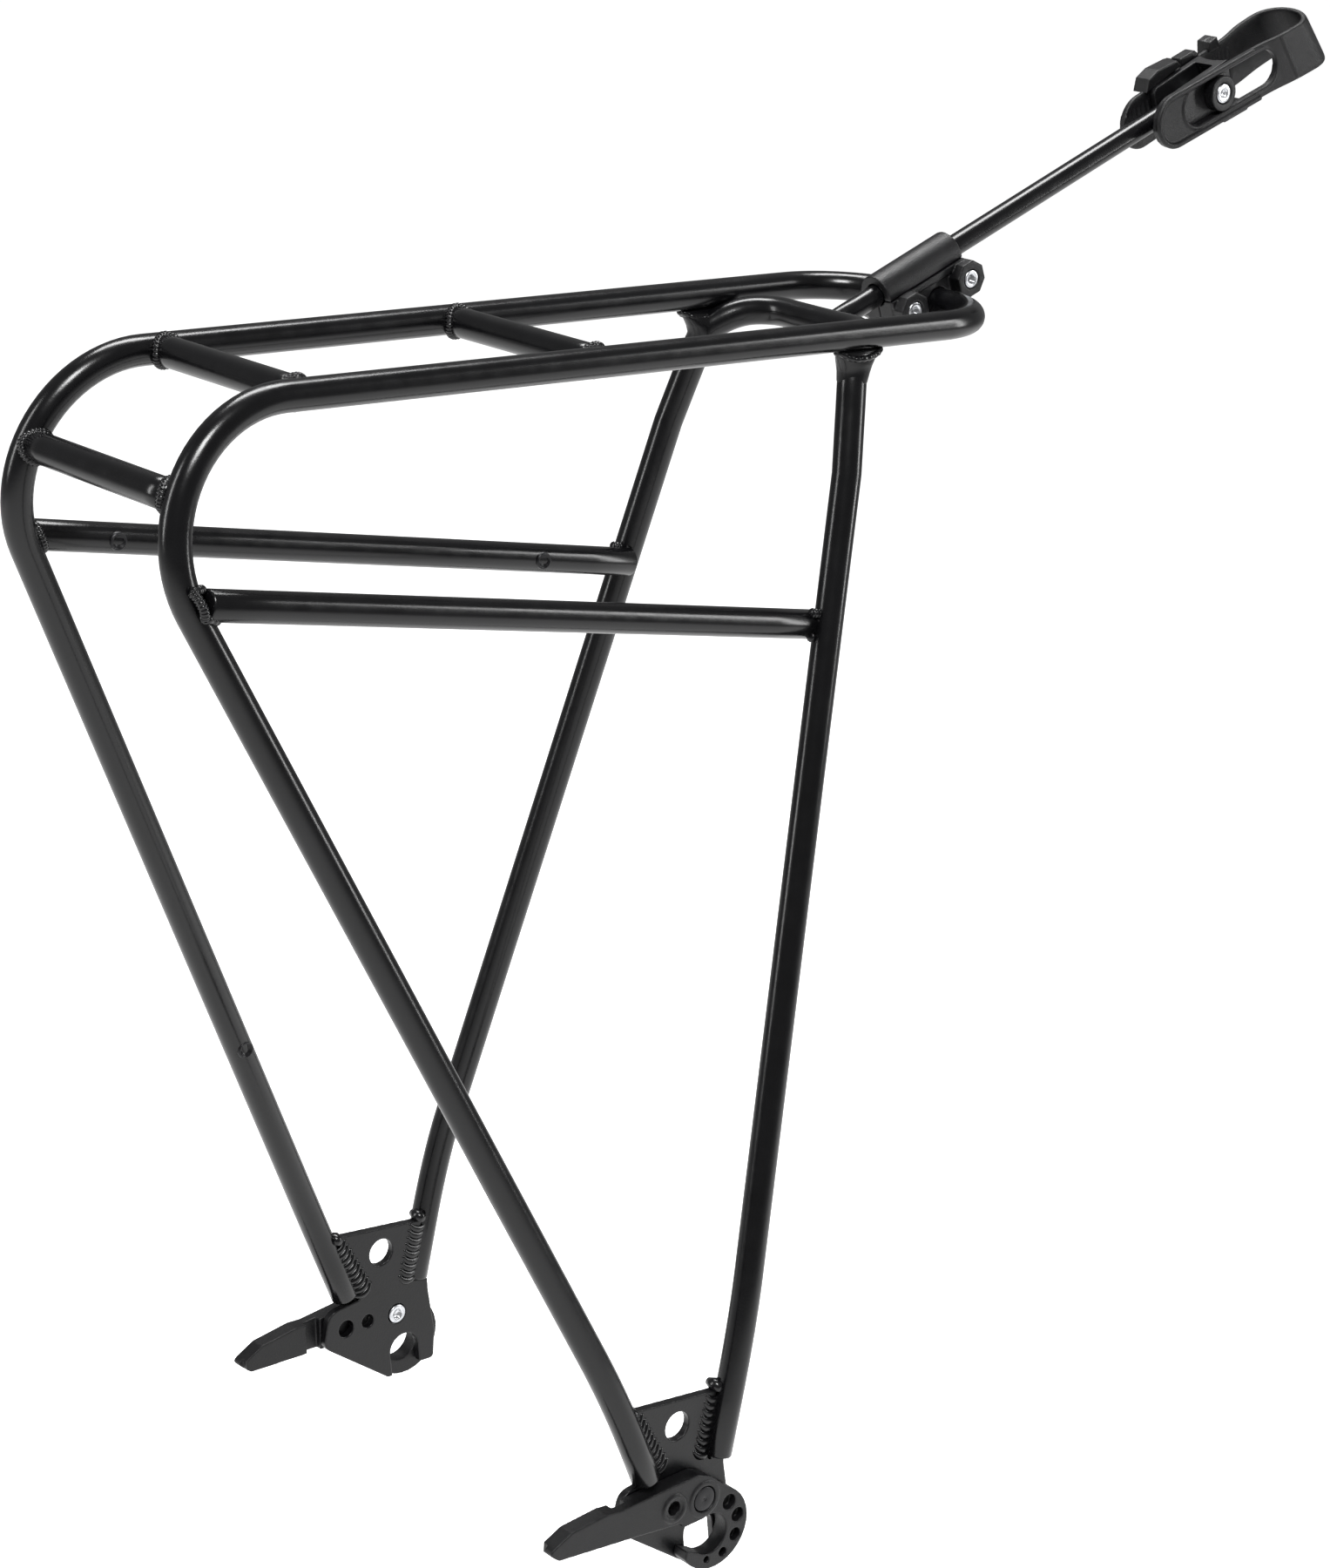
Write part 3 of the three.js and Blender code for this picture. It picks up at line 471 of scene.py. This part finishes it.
def nearest(path, point):
    """The point of a path nearest to another point, and the path's direction there."""
    best = min(range(1, len(path) - 1), key=lambda i: (path[i] - point).length)
    here = min((-1, 0), key=lambda k: segment_gap(path[best + k], path[best + k + 1], point))
    a, b = path[best + here], path[best + here + 1]
    along = (b - a).normalized()
    return a + along * max(0.0, min((b - a).length, (point - a).dot(along))), along


def segment_gap(a, b, point):
    along = (b - a).normalized()
    foot = a + along * max(0.0, min((b - a).length, (point - a).dot(along)))
    return (foot - point).length


WELD_SINK = 0.6  # a bead's middle lies this far inside the tube's skin, and this far off the other tube's


def ring_weld(start, toward, path, size=1.7):
    """A rippled bead all round a tube's end, where it meets the tube on the given path."""
    centre, along = nearest(path, toward)
    direction = (toward - start).normalized()
    line = around_tube(start, direction, TUBE_R - WELD_SINK, centre, along, TUBE_R + WELD_SINK)
    return sweep(line, bead_radii(len(line), 5, size), 10, closed=True)


def seam(start, end, size):
    """A straight rippled bead that thins out at both ends."""
    count = max(12, int((end - start).length * 4))
    line = [start.lerp(end, k / count) for k in range(count + 1)]
    radii = bead_radii(count + 1, 6, size)
    radii[0] = radii[-1] = 0.2 * size
    return sweep(line, radii, 10)


def fish_scales(start, end, width, thick):
    """A broad weld: crescents one over the other, from start to end."""
    pitch, sag = 2.7, 2.2
    along = (end - start).normalized()
    across = along.cross(Vector((0, 1, 0))).normalized()
    count = max(2, round((end - start).length / pitch))
    steps = [-1 + i / 8 for i in range(17)]
    radii = [thick * (0.45 + 0.55 * math.cos(t * math.pi / 2)) for t in steps]
    out = []
    for k in range(count + 1):
        middle = start.lerp(end, k / count)
        line = [middle + across * (t * width / 2) + along * (sag * (t * t - 0.5)) for t in steps]
        out.append(sweep(line, radii, 12))
    return out


def hoop_flare(sign):
    """The weld that spreads from the front leg's top out under the rail."""
    # height below the rail, distance behind the bow, y, and half the length and width there
    sections = [(-17.5, 20.9, 39.9, 4.6, 4.6), (-16, 20.4, 39.4, 5.3, 5.3), (-13, 19.4, 38.7, 5.9, 5.5),
                (-10.5, 19.4, 38.9, 6.8, 5.6), (-8.2, 19.5, 39.4, 8.0, 5.4), (-6.4, 19.6, 40.1, 9.2, 4.4),
                (-4.6, 19.6, 40.6, 9.6, 2.4)]
    return stack([[Vector((BOW_X - back + long * math.cos(a), sign * y + wide * math.sin(a), RAIL_Z + z))
                   for a in (2 * math.pi * k / 48 for k in range(48))]
                  for z, back, y, long, wide in sections])


welds = []
for name, (x, lift) in CROSS_TUBES.items():
    centre = Vector((x, 0, RAIL_Z + lift))
    for sign in (1, -1):
        welds.append(ring_weld(centre, Vector((x, sign * RAIL_Y_REAR, RAIL_Z + lift)), main_path))
REAR_RUN = 12.0  # how far from the lower rail's end its rear weld is traced from
REAR_REACH = 4.8  # and how far it may reach where the two tubes only graze
SEAM_OUT = 4.5
SEAM_LENGTH = 7.5
PLATE_WELD_TOP = 53.5
PLATE_WELD_WIDTH = 8.4
for sign in (1, -1):
    rear, front = (Vector((p.x, p.y * sign, p.z)) for p in (LOWER_REAR, LOWER_FRONT))
    slope = (front - rear).normalized()

    # lower rail to rear leg
    leg, leg_along = nearest([p for p in main_path if p.y * sign > 0], rear)
    spots = around_tube(rear + slope * REAR_RUN, -slope, TUBE_R - WELD_SINK,
                        leg, leg_along, TUBE_R + WELD_SINK)
    spots = [p if (p - rear).length < REAR_RUN else rear + (p - rear).normalized() * REAR_REACH
             for p in spots]
    welds.append(sweep(spots, bead_radii(len(spots), 5, 1.6), 10, closed=True))

    # lower rail to front leg: one seam above, one below
    leg, _ = nearest([p for p in hoop_path if p.y * sign > 0], front)
    for height in (4.2, -4.2):
        corner = leg + Vector((0, sign * 3.4, height))
        welds.append(seam(corner - slope * SEAM_LENGTH - Vector((0, sign * SEAM_OUT, 0)),
                          corner - Vector((1.5, sign * SEAM_OUT, 0)), 1.7))

    # front leg to rail
    welds.append(hoop_flare(sign))
    for side_y in (-4.7, 4.7):
        under = [Vector((BOW_X - x, sign * (40.6 + side_y * wide), RAIL_Z - drop))
                 for x, wide, drop in ((29, 0.2, 5.4), (24.6, 0.75, 7.4), (20, 1.0, 7.2),
                                       (14.6, 0.8, 6.4), (10, 0.2, 5.4))]
        line = catmull(under, 12)
        welds.append(sweep(line, bead_radii(len(line), 6, 1.1), 10))

    # legs to foot plate
    for leg_line, toe, edge in ((REAR_LEG, -LEG_TOE, 1), (FRONT_LEG, LEG_TOE, -1)):
        low = leg_point(leg_line, LEG_END_Z) + Vector((toe, 0, 0))
        high = leg_point(leg_line, PLATE_WELD_TOP)
        for face, offset in ((PLATE_OUT - 0.5, 6.6), (PLATE_IN + 0.5, 6.0)):
            a = Vector((low.x + edge * offset, sign * face, low.z + 2.0))
            b = Vector((high.x + edge * (offset - 0.6), sign * face, high.z - 4.0))
            welds += fish_scales(a, b, PLATE_WELD_WIDTH, 1.6)
        crown = Vector((high.x + edge * 4.6, sign * (PLATE_OUT + PLATE_IN) / 2, high.z - 0.4))
        across = Vector((0, 3.4, 0))
        welds.append(sweep([crown - across, crown, crown + across], [1.4, 2.6, 1.4], 16))
        welds.append(seam(Vector((low.x - 3.6, sign * PLATE_OUT, low.z)),
                          Vector((low.x + 3.6, sign * PLATE_OUT, low.z)), 1.3))
new_piece("weld_beads", welds, "rack", "powder_coat")


def hole_rim(middle, inward, outer, inner):
    """A raised rim with a dark floor on a tube's inner side. inward points to the rack's middle."""
    profile = [(2.6, 0.05), (1.6, outer), (-0.6, outer - 0.3), (-0.6, inner + 0.3),
               (0.1, inner), (0.2, 0.05)]
    return stack([[middle - inward * depth + Vector((math.cos(a), 0, math.sin(a))) * radius
                   for a in (2 * math.pi * k / 32 for k in range(32))]
                  for depth, radius in profile])


rims = []
for sign in (1, -1):
    inward = Vector((0, -sign, 0))
    shares = [(x - LOWER_REAR.x) / (LOWER_FRONT.x - LOWER_REAR.x) for x in ACCESSORY_X]
    for spot in [LOWER_REAR.lerp(LOWER_FRONT, t) for t in shares] + [leg_point(REAR_LEG, ACCESSORY_LEG_Z)]:
        rims.append(hole_rim(Vector((spot.x, sign * (spot.y - TUBE_R), spot.z)), inward, 3.2, 2.1))
new_piece("accessory_holes", rims, "rack", "black_steel")

# ---------------------------------------------------------------- moulded and plate pieces


def lathe_y(centre, profile, sides=48, closed=False):
    """A turned shape about a line along Y through centre (x, z). profile is [(radius, y), ...]."""
    x, z = centre
    angles = [2 * math.pi * k / sides for k in range(sides)]
    rings = [[(x + r * math.cos(a), y, z + r * math.sin(a)) for a in angles] for r, y in profile]
    if not closed:
        return stack(rings)
    points = [p for ring in rings for p in ring]
    count = len(profile)
    faces = []
    for k in range(count):
        for i in range(sides):
            j = (i + 1) % sides
            low, high = k * sides, ((k + 1) % count) * sides
            faces.append([low + i, low + j, high + j, high + i])
    return points, faces


def rod_y(centre, radius, low, high, sides=48):
    return lathe_y(centre, [(radius, low), (radius, high)], sides)


def collar_y(centre, inner, outer, low, high):
    return lathe_y(centre, [(inner, low), (outer, low), (outer, high), (inner, high)], closed=True)


def slab(outline, low, high):
    """A flat plate between two distances along Y, from an (x, z) outline."""
    return stack([[(x, y, z) for x, z in outline] for y in (low, high)])


def baked(piece):
    """Applies a piece's modifiers."""
    depsgraph = bpy.context.evaluated_depsgraph_get()
    mesh = bpy.data.meshes.new_from_object(piece.evaluated_get(depsgraph))
    piece.modifiers.clear()
    piece.data = mesh
    return piece


def cut_away(piece, cutter_mesh):
    cutter = bpy.data.objects.new("cutter", cutter_mesh)
    bpy.context.scene.collection.objects.link(cutter)
    step = piece.modifiers.new("cut", "BOOLEAN")
    step.operation = "DIFFERENCE"
    step.solver = "EXACT"
    step.use_self = True
    step.object = cutter
    baked(piece)
    bpy.data.objects.remove(cutter)


def moulded(name, node, body, slot, adds=(), cuts=(), place=None, base=None, voxel=0.28, rounds=4):
    """A CAD node's shape, or parts of its own, with details added and cut, and every edge rounded."""
    place = place or Matrix()
    if base is None:
        mesh = frame["nodes"][node].data.copy()
        weld = bmesh.new()
        weld.from_mesh(mesh)
        bmesh.ops.remove_doubles(weld, verts=weld.verts, dist=2e-6)
        weld.to_mesh(mesh)
        weld.free()
    else:
        mesh = as_mesh(name, base, place)
    piece = bpy.data.objects.new(name, mesh)
    bpy.context.scene.collection.objects.link(piece)
    if cuts:
        cut_away(piece, as_mesh("cutter", cuts, place))
    if adds:
        whole = bmesh.new()
        whole.from_mesh(piece.data)
        whole.from_mesh(as_mesh("added", adds, place))
        whole.to_mesh(piece.data)
        whole.free()
    remesh = piece.modifiers.new("skin", "REMESH")
    remesh.mode = "VOXEL"
    remesh.voxel_size = voxel * MM * 1.0
    soften = piece.modifiers.new("soften", "SMOOTH")
    soften.factor = 0.5
    soften.iterations = rounds
    baked(piece)
    piece.data.shade_smooth()
    finish_piece(piece, body, slot, [node])
    return piece


MIRROR = Matrix.Diagonal((1, -1, 1, 1))
LEFT_LEVER = (Matrix.Translation((PIVOT[0], 0, PIVOT[1])) @ Matrix.Rotation(math.radians(-4), 4, "Y")
              @ Matrix.Translation((-PIVOT[0], 0, -PIVOT[1])))
POCKETS = [2.85, 2.6, 2.35, 1.7, 1.2]  # radii, from the front of the ring round to below it
POCKET_ORBIT = 10.9
THROUGH = (80, 100)  # a cut right through a left plate and lever, along Y

lever_cuts = [
    rod_y(LOCK_HOLE, 2.6, *THROUGH),
    rod_y((-0.5, 1.2), 7.6, *THROUGH, 72),
    rod_y(PIVOT, 4.8, LEVER_OUT - 1.8, 100),
]
for i, radius in enumerate(POCKETS):
    angle = math.radians(55 - i * 40)
    spot = (RING[0] + POCKET_ORBIT * math.cos(angle), RING[1] - 0.6 + POCKET_ORBIT * math.sin(angle))
    lever_cuts.append(rod_y(spot, radius, LEVER_OUT - 3, 100))
lever_adds = [
    collar_y(LOCK_HOLE, 3.9, 5.3, LEVER_OUT - 0.6, LEVER_OUT + 0.55),
    collar_y(PIVOT, 5.0, 6.6, LEVER_OUT - 0.6, LEVER_OUT + 0.45),
]
plate_cuts = [
    rod_y(WINDOW, 5.25, 80, 90, 64),
    rod_y(LOBE, 3.3, 80, 90),
    rod_y(LOCK_HOLE, 2.6, 80, 90),
]

for side, plate_place, lever_place in (("left", Matrix(), LEFT_LEVER), ("right", MIRROR, MIRROR)):
    moulded(f"foot_plate_{side}_detailed", f"foot_plate_{side}", "rack", "plate_coat",
            cuts=plate_cuts, place=plate_place, rounds=3)
    moulded(f"latch_lever_{side}_detailed", f"latch_lever_{side}", f"lever_{side}", "nylon",
            adds=lever_adds, cuts=lever_cuts, place=lever_place)

# ---------------------------------------------------------------- screws


def polygon_ring(centre, y, circumradius, corners, count, turn=0.0):
    """A regular polygon as a ring of count points, all at one y."""
    out = []
    for k in range(count):
        angle = 2 * math.pi * k / count
        local = (angle - turn) % (2 * math.pi / corners) - math.pi / corners
        radius = circumradius * math.cos(math.pi / corners) / math.cos(local)
        out.append((centre[0] + radius * math.cos(angle), y, centre[1] + radius * math.sin(angle)))
    return out


def circle_ring(centre, y, radius, count):
    return [(centre[0] + radius * math.cos(2 * math.pi * k / count), y,
             centre[1] + radius * math.sin(2 * math.pi * k / count)) for k in range(count)]


def socket_head(centre, face, inward, radius, height, flats, depth, corners=6):
    """A screw head along Y: chamfered rim, flat face and a polygonal socket. inward is +1 or -1."""
    count = 48
    socket = flats / 2 / math.cos(math.pi / corners)
    rings = [
        circle_ring(centre, face + inward * height, radius, count),
        circle_ring(centre, face + inward * 0.35, radius, count),
        circle_ring(centre, face + inward * 0.1, radius - 0.12, count),
        circle_ring(centre, face, radius - 0.4, count),
        circle_ring(centre, face, socket + 0.5, count),
        circle_ring(centre, face + inward * 0.08, socket + 0.18, count),
        polygon_ring(centre, face + inward * 0.3, socket, corners, count),
        polygon_ring(centre, face + inward * depth, socket * 0.97, corners, count),
    ]
    return stack(rings)


def shank(centre, start, end, radius):
    """A threaded rod along Y: fine ridges between two plain ends."""
    steps = int(abs(end - start) / 0.175)
    profile = [(radius - (0.16 if k % 4 in (1, 2) else 0.0), start + (end - start) * k / steps)
               for k in range(steps + 1)]
    return lathe_y(centre, profile, 24)


for side, sign in (("left", 1), ("right", -1)):
    outer = socket_head(PIVOT, sign * (LEVER_OUT + 0.3), -sign, 4.5, 1.8, 0.8, 0.12, 12)
    barrel = rod_y(PIVOT, 3.4, sign * (PLATE_IN + 1.6), sign * (LEVER_OUT - 1.2))
    new_piece(f"pivot_bolt_{side}_turned", [outer, barrel], "rack", "black_steel",
              [f"pivot_bolt_{side}"])
    inner = socket_head(PIVOT, sign * (PLATE_IN - 0.5), sign, 3.65, 1.7, 3.4, 1.2)
    new_piece(f"pivot_screw_{side}_turned", [inner], "rack", "bright_steel", [f"pivot_screw_{side}"])

for name, spot in CLAMP_BOLTS.items():
    parts = [socket_head(spot, -BOSS_FACE, 1, 3.2, 2.9, 3.0, 2.0),
             shank(spot, -BOSS_FACE + 2.5, BOSS_FACE - 0.4, 2.0)]
    new_piece(f"clamp_bolt_{name}_turned", parts, "strut_clamp", "bright_steel",
              [f"clamp_bolt_{name}"], STRUT)

screw = [socket_head((0, 0), -(ARM_Y + 1.5), 1, 3.6, 1.4, 2.6, 0.9, 5),
         rod_y((0, 0), 2.5, -(ARM_Y + 0.5), 6.6)]
new_piece("swivel_screw_turned", screw, "seat_clamp", "bright_steel", ["swivel_screw"], HEAD)

# ---------------------------------------------------------------- strut clamp

clamp_cuts = [rod_y(spot, 2.3, -20, 20) for spot in CLAMP_BOLTS.values()]
right_cuts = clamp_cuts + [rod_y(spot, 3.5, -20, -BOSS_FACE + 3.2) for spot in CLAMP_BOLTS.values()]
seam_w = STRUT_LIFT - 1.7  # the height where the saddle sits on the clamp halves
for side, sign, cuts in (("right", -1, right_cuts), ("left", 1, clamp_cuts)):
    lip = slab([(-21.3, seam_w - 2.4), (15.6, seam_w - 2.4), (15.2, seam_w), (-21.3, seam_w)],
               sign * 6.5, sign * 7.9)
    moulded(f"strut_clamp_{side}_detailed", f"strut_clamp_{side}", "strut_clamp", "nylon",
            adds=[lip], cuts=cuts, place=STRUT)

moulded("strut_clamp_saddle_detailed", "strut_clamp_saddle", "strut_clamp", "nylon",
        cuts=[sweep([Vector((-60, 0, STRUT_LIFT)), Vector((60, 0, STRUT_LIFT))], 4.2, 48)],
        place=STRUT)

# ---------------------------------------------------------------- seat-tube clamp

LOOP_U = 48.0
LOOP_R = 11.8
STRAP_T = 2.6
ARM_REAR_U = -35.5
SLANT = -0.38
ARM_SAG = -3.4  # how far the left arm hangs below the right one at its rear end
ARM_RISE = 0.062  # and how fast it comes up again toward the loop


def strap_plan():
    """The band's middle line in plan, from the right arm's end round the loop to the left one's."""
    arm, loop = ARM_Y - STRAP_T / 2, LOOP_R - STRAP_T / 2
    a, b = LOOP_U - 26, LOOP_U - 6
    side = [(ARM_REAR_U + (a - ARM_REAR_U) * (k / 44), -arm) for k in range(44)]
    for k in range(14):
        t = k / 14
        u = a * (1 - t) ** 3 + 3 * (a + 9) * t * (1 - t) ** 2 + 3 * (b - 9) * t * t * (1 - t) + b * t ** 3
        side.append((u, -(arm + (loop - arm) * (3 * t * t - 2 * t ** 3))))
    side += [(b + (LOOP_U - b) * k / 5, -loop) for k in range(5)]
    front = [(LOOP_U + loop * math.cos(g), loop * math.sin(g))
             for g in (-math.pi / 2 + math.pi * k / 30 for k in range(31))]
    return side + front + [(u, -v) for u, v in side[::-1]]


def strap_band():
    """The strap: one band that leans forward at its front, with its left arm sloping down at the rear."""
    plan = strap_plan()
    half = (STRAP_HIGH - STRAP_LOW) / 2
    rings = []
    for i, (u, v) in enumerate(plan):
        nxt = plan[min(i + 1, len(plan) - 1)]
        prv = plan[max(i - 1, 0)]
        along = Vector((nxt[0] - prv[0], nxt[1] - prv[1], 0)).normalized()
        out = Vector((along.y, -along.x, 0))
        side = min(max((v + LOOP_R) / (2 * LOOP_R), 0), 1) if u > LOOP_U else (1.0 if v > 0 else 0.0)
        middle = (STRAP_HIGH + STRAP_LOW) / 2 + side * (ARM_SAG + (u - ARM_REAR_U) * ARM_RISE)
        inset = u - ARM_REAR_U
        tall = half if inset > half else math.sqrt(max(half ** 2 - (half - inset) ** 2, 0.09))
        lean = min(max((u - 20) / 20, 0), 1)
        ring = []
        for k in range(28):
            angle = 2 * math.pi * k / 28
            c, s = math.cos(angle), math.sin(angle)
            thick = math.copysign(abs(c) ** 0.5, c) * STRAP_T / 2
            w = middle + math.copysign(abs(s) ** 0.16, s) * tall
            ring.append(Vector((u + SLANT * w * lean, v, w)) + out * thick)
        rings.append(ring)
    return stack(rings)


def window_line(grow, steps=24):
    """A stadium round the right arm's window."""
    radius = 7 + grow
    out = [(24 + radius * math.cos(a), radius * math.sin(a))
           for a in (-math.pi / 2 + math.pi * k / steps for k in range(steps + 1))]
    out += [(-13 + radius * math.cos(a), radius * math.sin(a))
            for a in (math.pi / 2 + math.pi * k / steps for k in range(steps + 1))]
    return out


def arm_line(steps=24):
    """A line just inside the right arm's edge: along its top, round its rear end and along its foot."""
    radius = (STRAP_HIGH - STRAP_LOW) / 2 - 0.9
    middle = (STRAP_HIGH + STRAP_LOW) / 2
    end = ARM_REAR_U + (STRAP_HIGH - STRAP_LOW) / 2
    return ([(20, middle + radius)]
            + [(end + radius * math.cos(a), middle + radius * math.sin(a))
               for a in (math.pi / 2 + math.pi * k / steps for k in range(steps + 1))]
            + [(20, middle - radius)])


rim = [Vector((u, -ARM_Y + 0.1, w)) for u, w in window_line(0.9)]
strap_adds = [sweep(rim, 0.7, 10, closed=True)]
strap_adds.append(sweep([Vector((u, -ARM_Y - 0.1, w)) for u, w in arm_line()], 1.1, 12))

TOOTH_FIRST_U = -33
TOOTH_PITCH = 2.4
TOOTH_HALF = 6.4
half_arm = (STRAP_HIGH - STRAP_LOW) / 2
for k in range(25):
    u = TOOTH_FIRST_U + TOOTH_PITCH * k
    w = (STRAP_HIGH + STRAP_LOW) / 2 + ARM_SAG + (u - ARM_REAR_U) * ARM_RISE
    half = TOOTH_HALF
    if u < ARM_REAR_U + half_arm:
        chord = math.sqrt(max(half_arm ** 2 - (half_arm - (u - ARM_REAR_U)) ** 2, 1))
        half = min(TOOTH_HALF, chord - 1.2)
    for face in (ARM_Y - 0.2, ARM_Y - STRAP_T + 0.2):
        strap_adds.append(sweep([Vector((u, face, w - half)), Vector((u, face, w + half))], 0.6, 8))
ridge = [Vector((37.0 + SLANT * w * 0.85, -11.5, w)) for w in (STRAP_LOW + 1, 0, STRAP_HIGH - 1)]
strap_adds.append(sweep(ridge, 0.6, 10))
moulded("seat_strap_detailed", "seat_strap", "seat_clamp", "strap_rubber", base=[strap_band()],
        adds=strap_adds, cuts=[slab(window_line(0.0), -14, 0)], place=HEAD, voxel=0.3, rounds=3)

keeper = slab([(1, -10.5), (3, -13.6), (16, -13.6), (18, -10.5)], -6.8, 6.8)
moulded("seat_clamp_body_detailed", "seat_clamp_body", "seat_clamp", "nylon", adds=[keeper],
        place=HEAD)
cap = slab([(-22, 6.5), (-19.5, 11.0), (-14, 12.6), (-3.6, 12.2), (-1.8, 9.5)], 6.2, 13.4)
bump = slab([(-1, 8), (0, 11.2), (8, 11.4), (10, 9)], 8.0, 13.0)
lug = slab([(14.4, 8), (15.2, 11.6), (19.6, 12.4), (20.4, 8)], 7.0, 13.4)
moulded("strap_buckle_detailed", "strap_buckle", "seat_clamp", "nylon", adds=[cap, bump, lug],
        place=HEAD)
face = -(ARM_Y + 1.2)
moulded("swivel_boss_detailed", "swivel_boss", "seat_clamp", "nylon",
        adds=[collar_y((0, 0), 4.3, 6.4, face - 0.3, face + 0.6)],
        cuts=[rod_y((0, 0), 3.9, -20, face + 1.4)], place=HEAD)

# ---------------------------------------------------------------- CAD nodes that stay as they are

for item in frame["record"]["subparts"]:
    node = frame["nodes"][item["node"]]
    node.material_slots[0].material = FINISH[item["material_slot"]]

# ---------------------------------------------------------------- floor and light


def seen_white(tree, socket, around, seen):
    """A strength that is one value for the light it gives and another as the camera sees it."""
    path = tree.nodes.new("ShaderNodeLightPath")
    pick = tree.nodes.new("ShaderNodeMapRange")
    pick.inputs["To Min"].default_value = around
    pick.inputs["To Max"].default_value = seen
    tree.links.new(path.outputs["Is Camera Ray"], pick.inputs["Value"])
    tree.links.new(pick.outputs["Result"], socket)


floor_z = cad_box[0][2] - 0.35
bpy.ops.mesh.primitive_plane_add(size=30, location=(0, 0, floor_z))
floor = bpy.context.object
floor.name = "floor"
pale = bpy.data.materials.new("pale_floor")
pale.use_nodes = True
matte = pale.node_tree.nodes["Principled BSDF"].inputs
matte["Base Color"].default_value = (0.93, 0.93, 0.93, 1)
matte["Roughness"].default_value = 0.9
matte["Specular IOR Level"].default_value = 0.1
matte["Emission Color"].default_value = (1, 1, 1, 1)
seen_white(pale.node_tree, matte["Emission Strength"], 0.0, 0.8)
floor.data.materials.append(pale)


RACK_CENTRE = (0.03, 0, 0.25)


def soft_box(name, spot, size, power):
    data = bpy.data.lights.new(name, "AREA")
    data.shape = "RECTANGLE"
    data.size = size[0]
    data.size_y = size[1]
    data.energy = power
    lamp = bpy.data.objects.new(name, data)
    lamp.location = spot
    lamp.rotation_euler = (Vector(RACK_CENTRE) - Vector(spot)).to_track_quat("-Z", "Y").to_euler()
    bpy.context.scene.collection.objects.link(lamp)


soft_box("key", (-0.9, -1.2, 2.1), (0.7, 0.7), 62)
soft_box("top", (0.5, 0.6, 2.3), (1.4, 0.6), 56)
soft_box("front", (1.9, -1.3, 0.9), (0.35, 1.6), 26)
soft_box("rear", (-1.9, 0.9, 1.0), (0.35, 1.6), 22)

world = bpy.data.worlds.new("studio")
world.use_nodes = True
sky = world.node_tree.nodes["Background"].inputs
sky["Color"].default_value = (1, 1, 1, 1)
seen_white(world.node_tree, sky["Strength"], 0.22, 1.05)
bpy.context.scene.world = world
bpy.context.scene.view_settings.view_transform = "Standard"
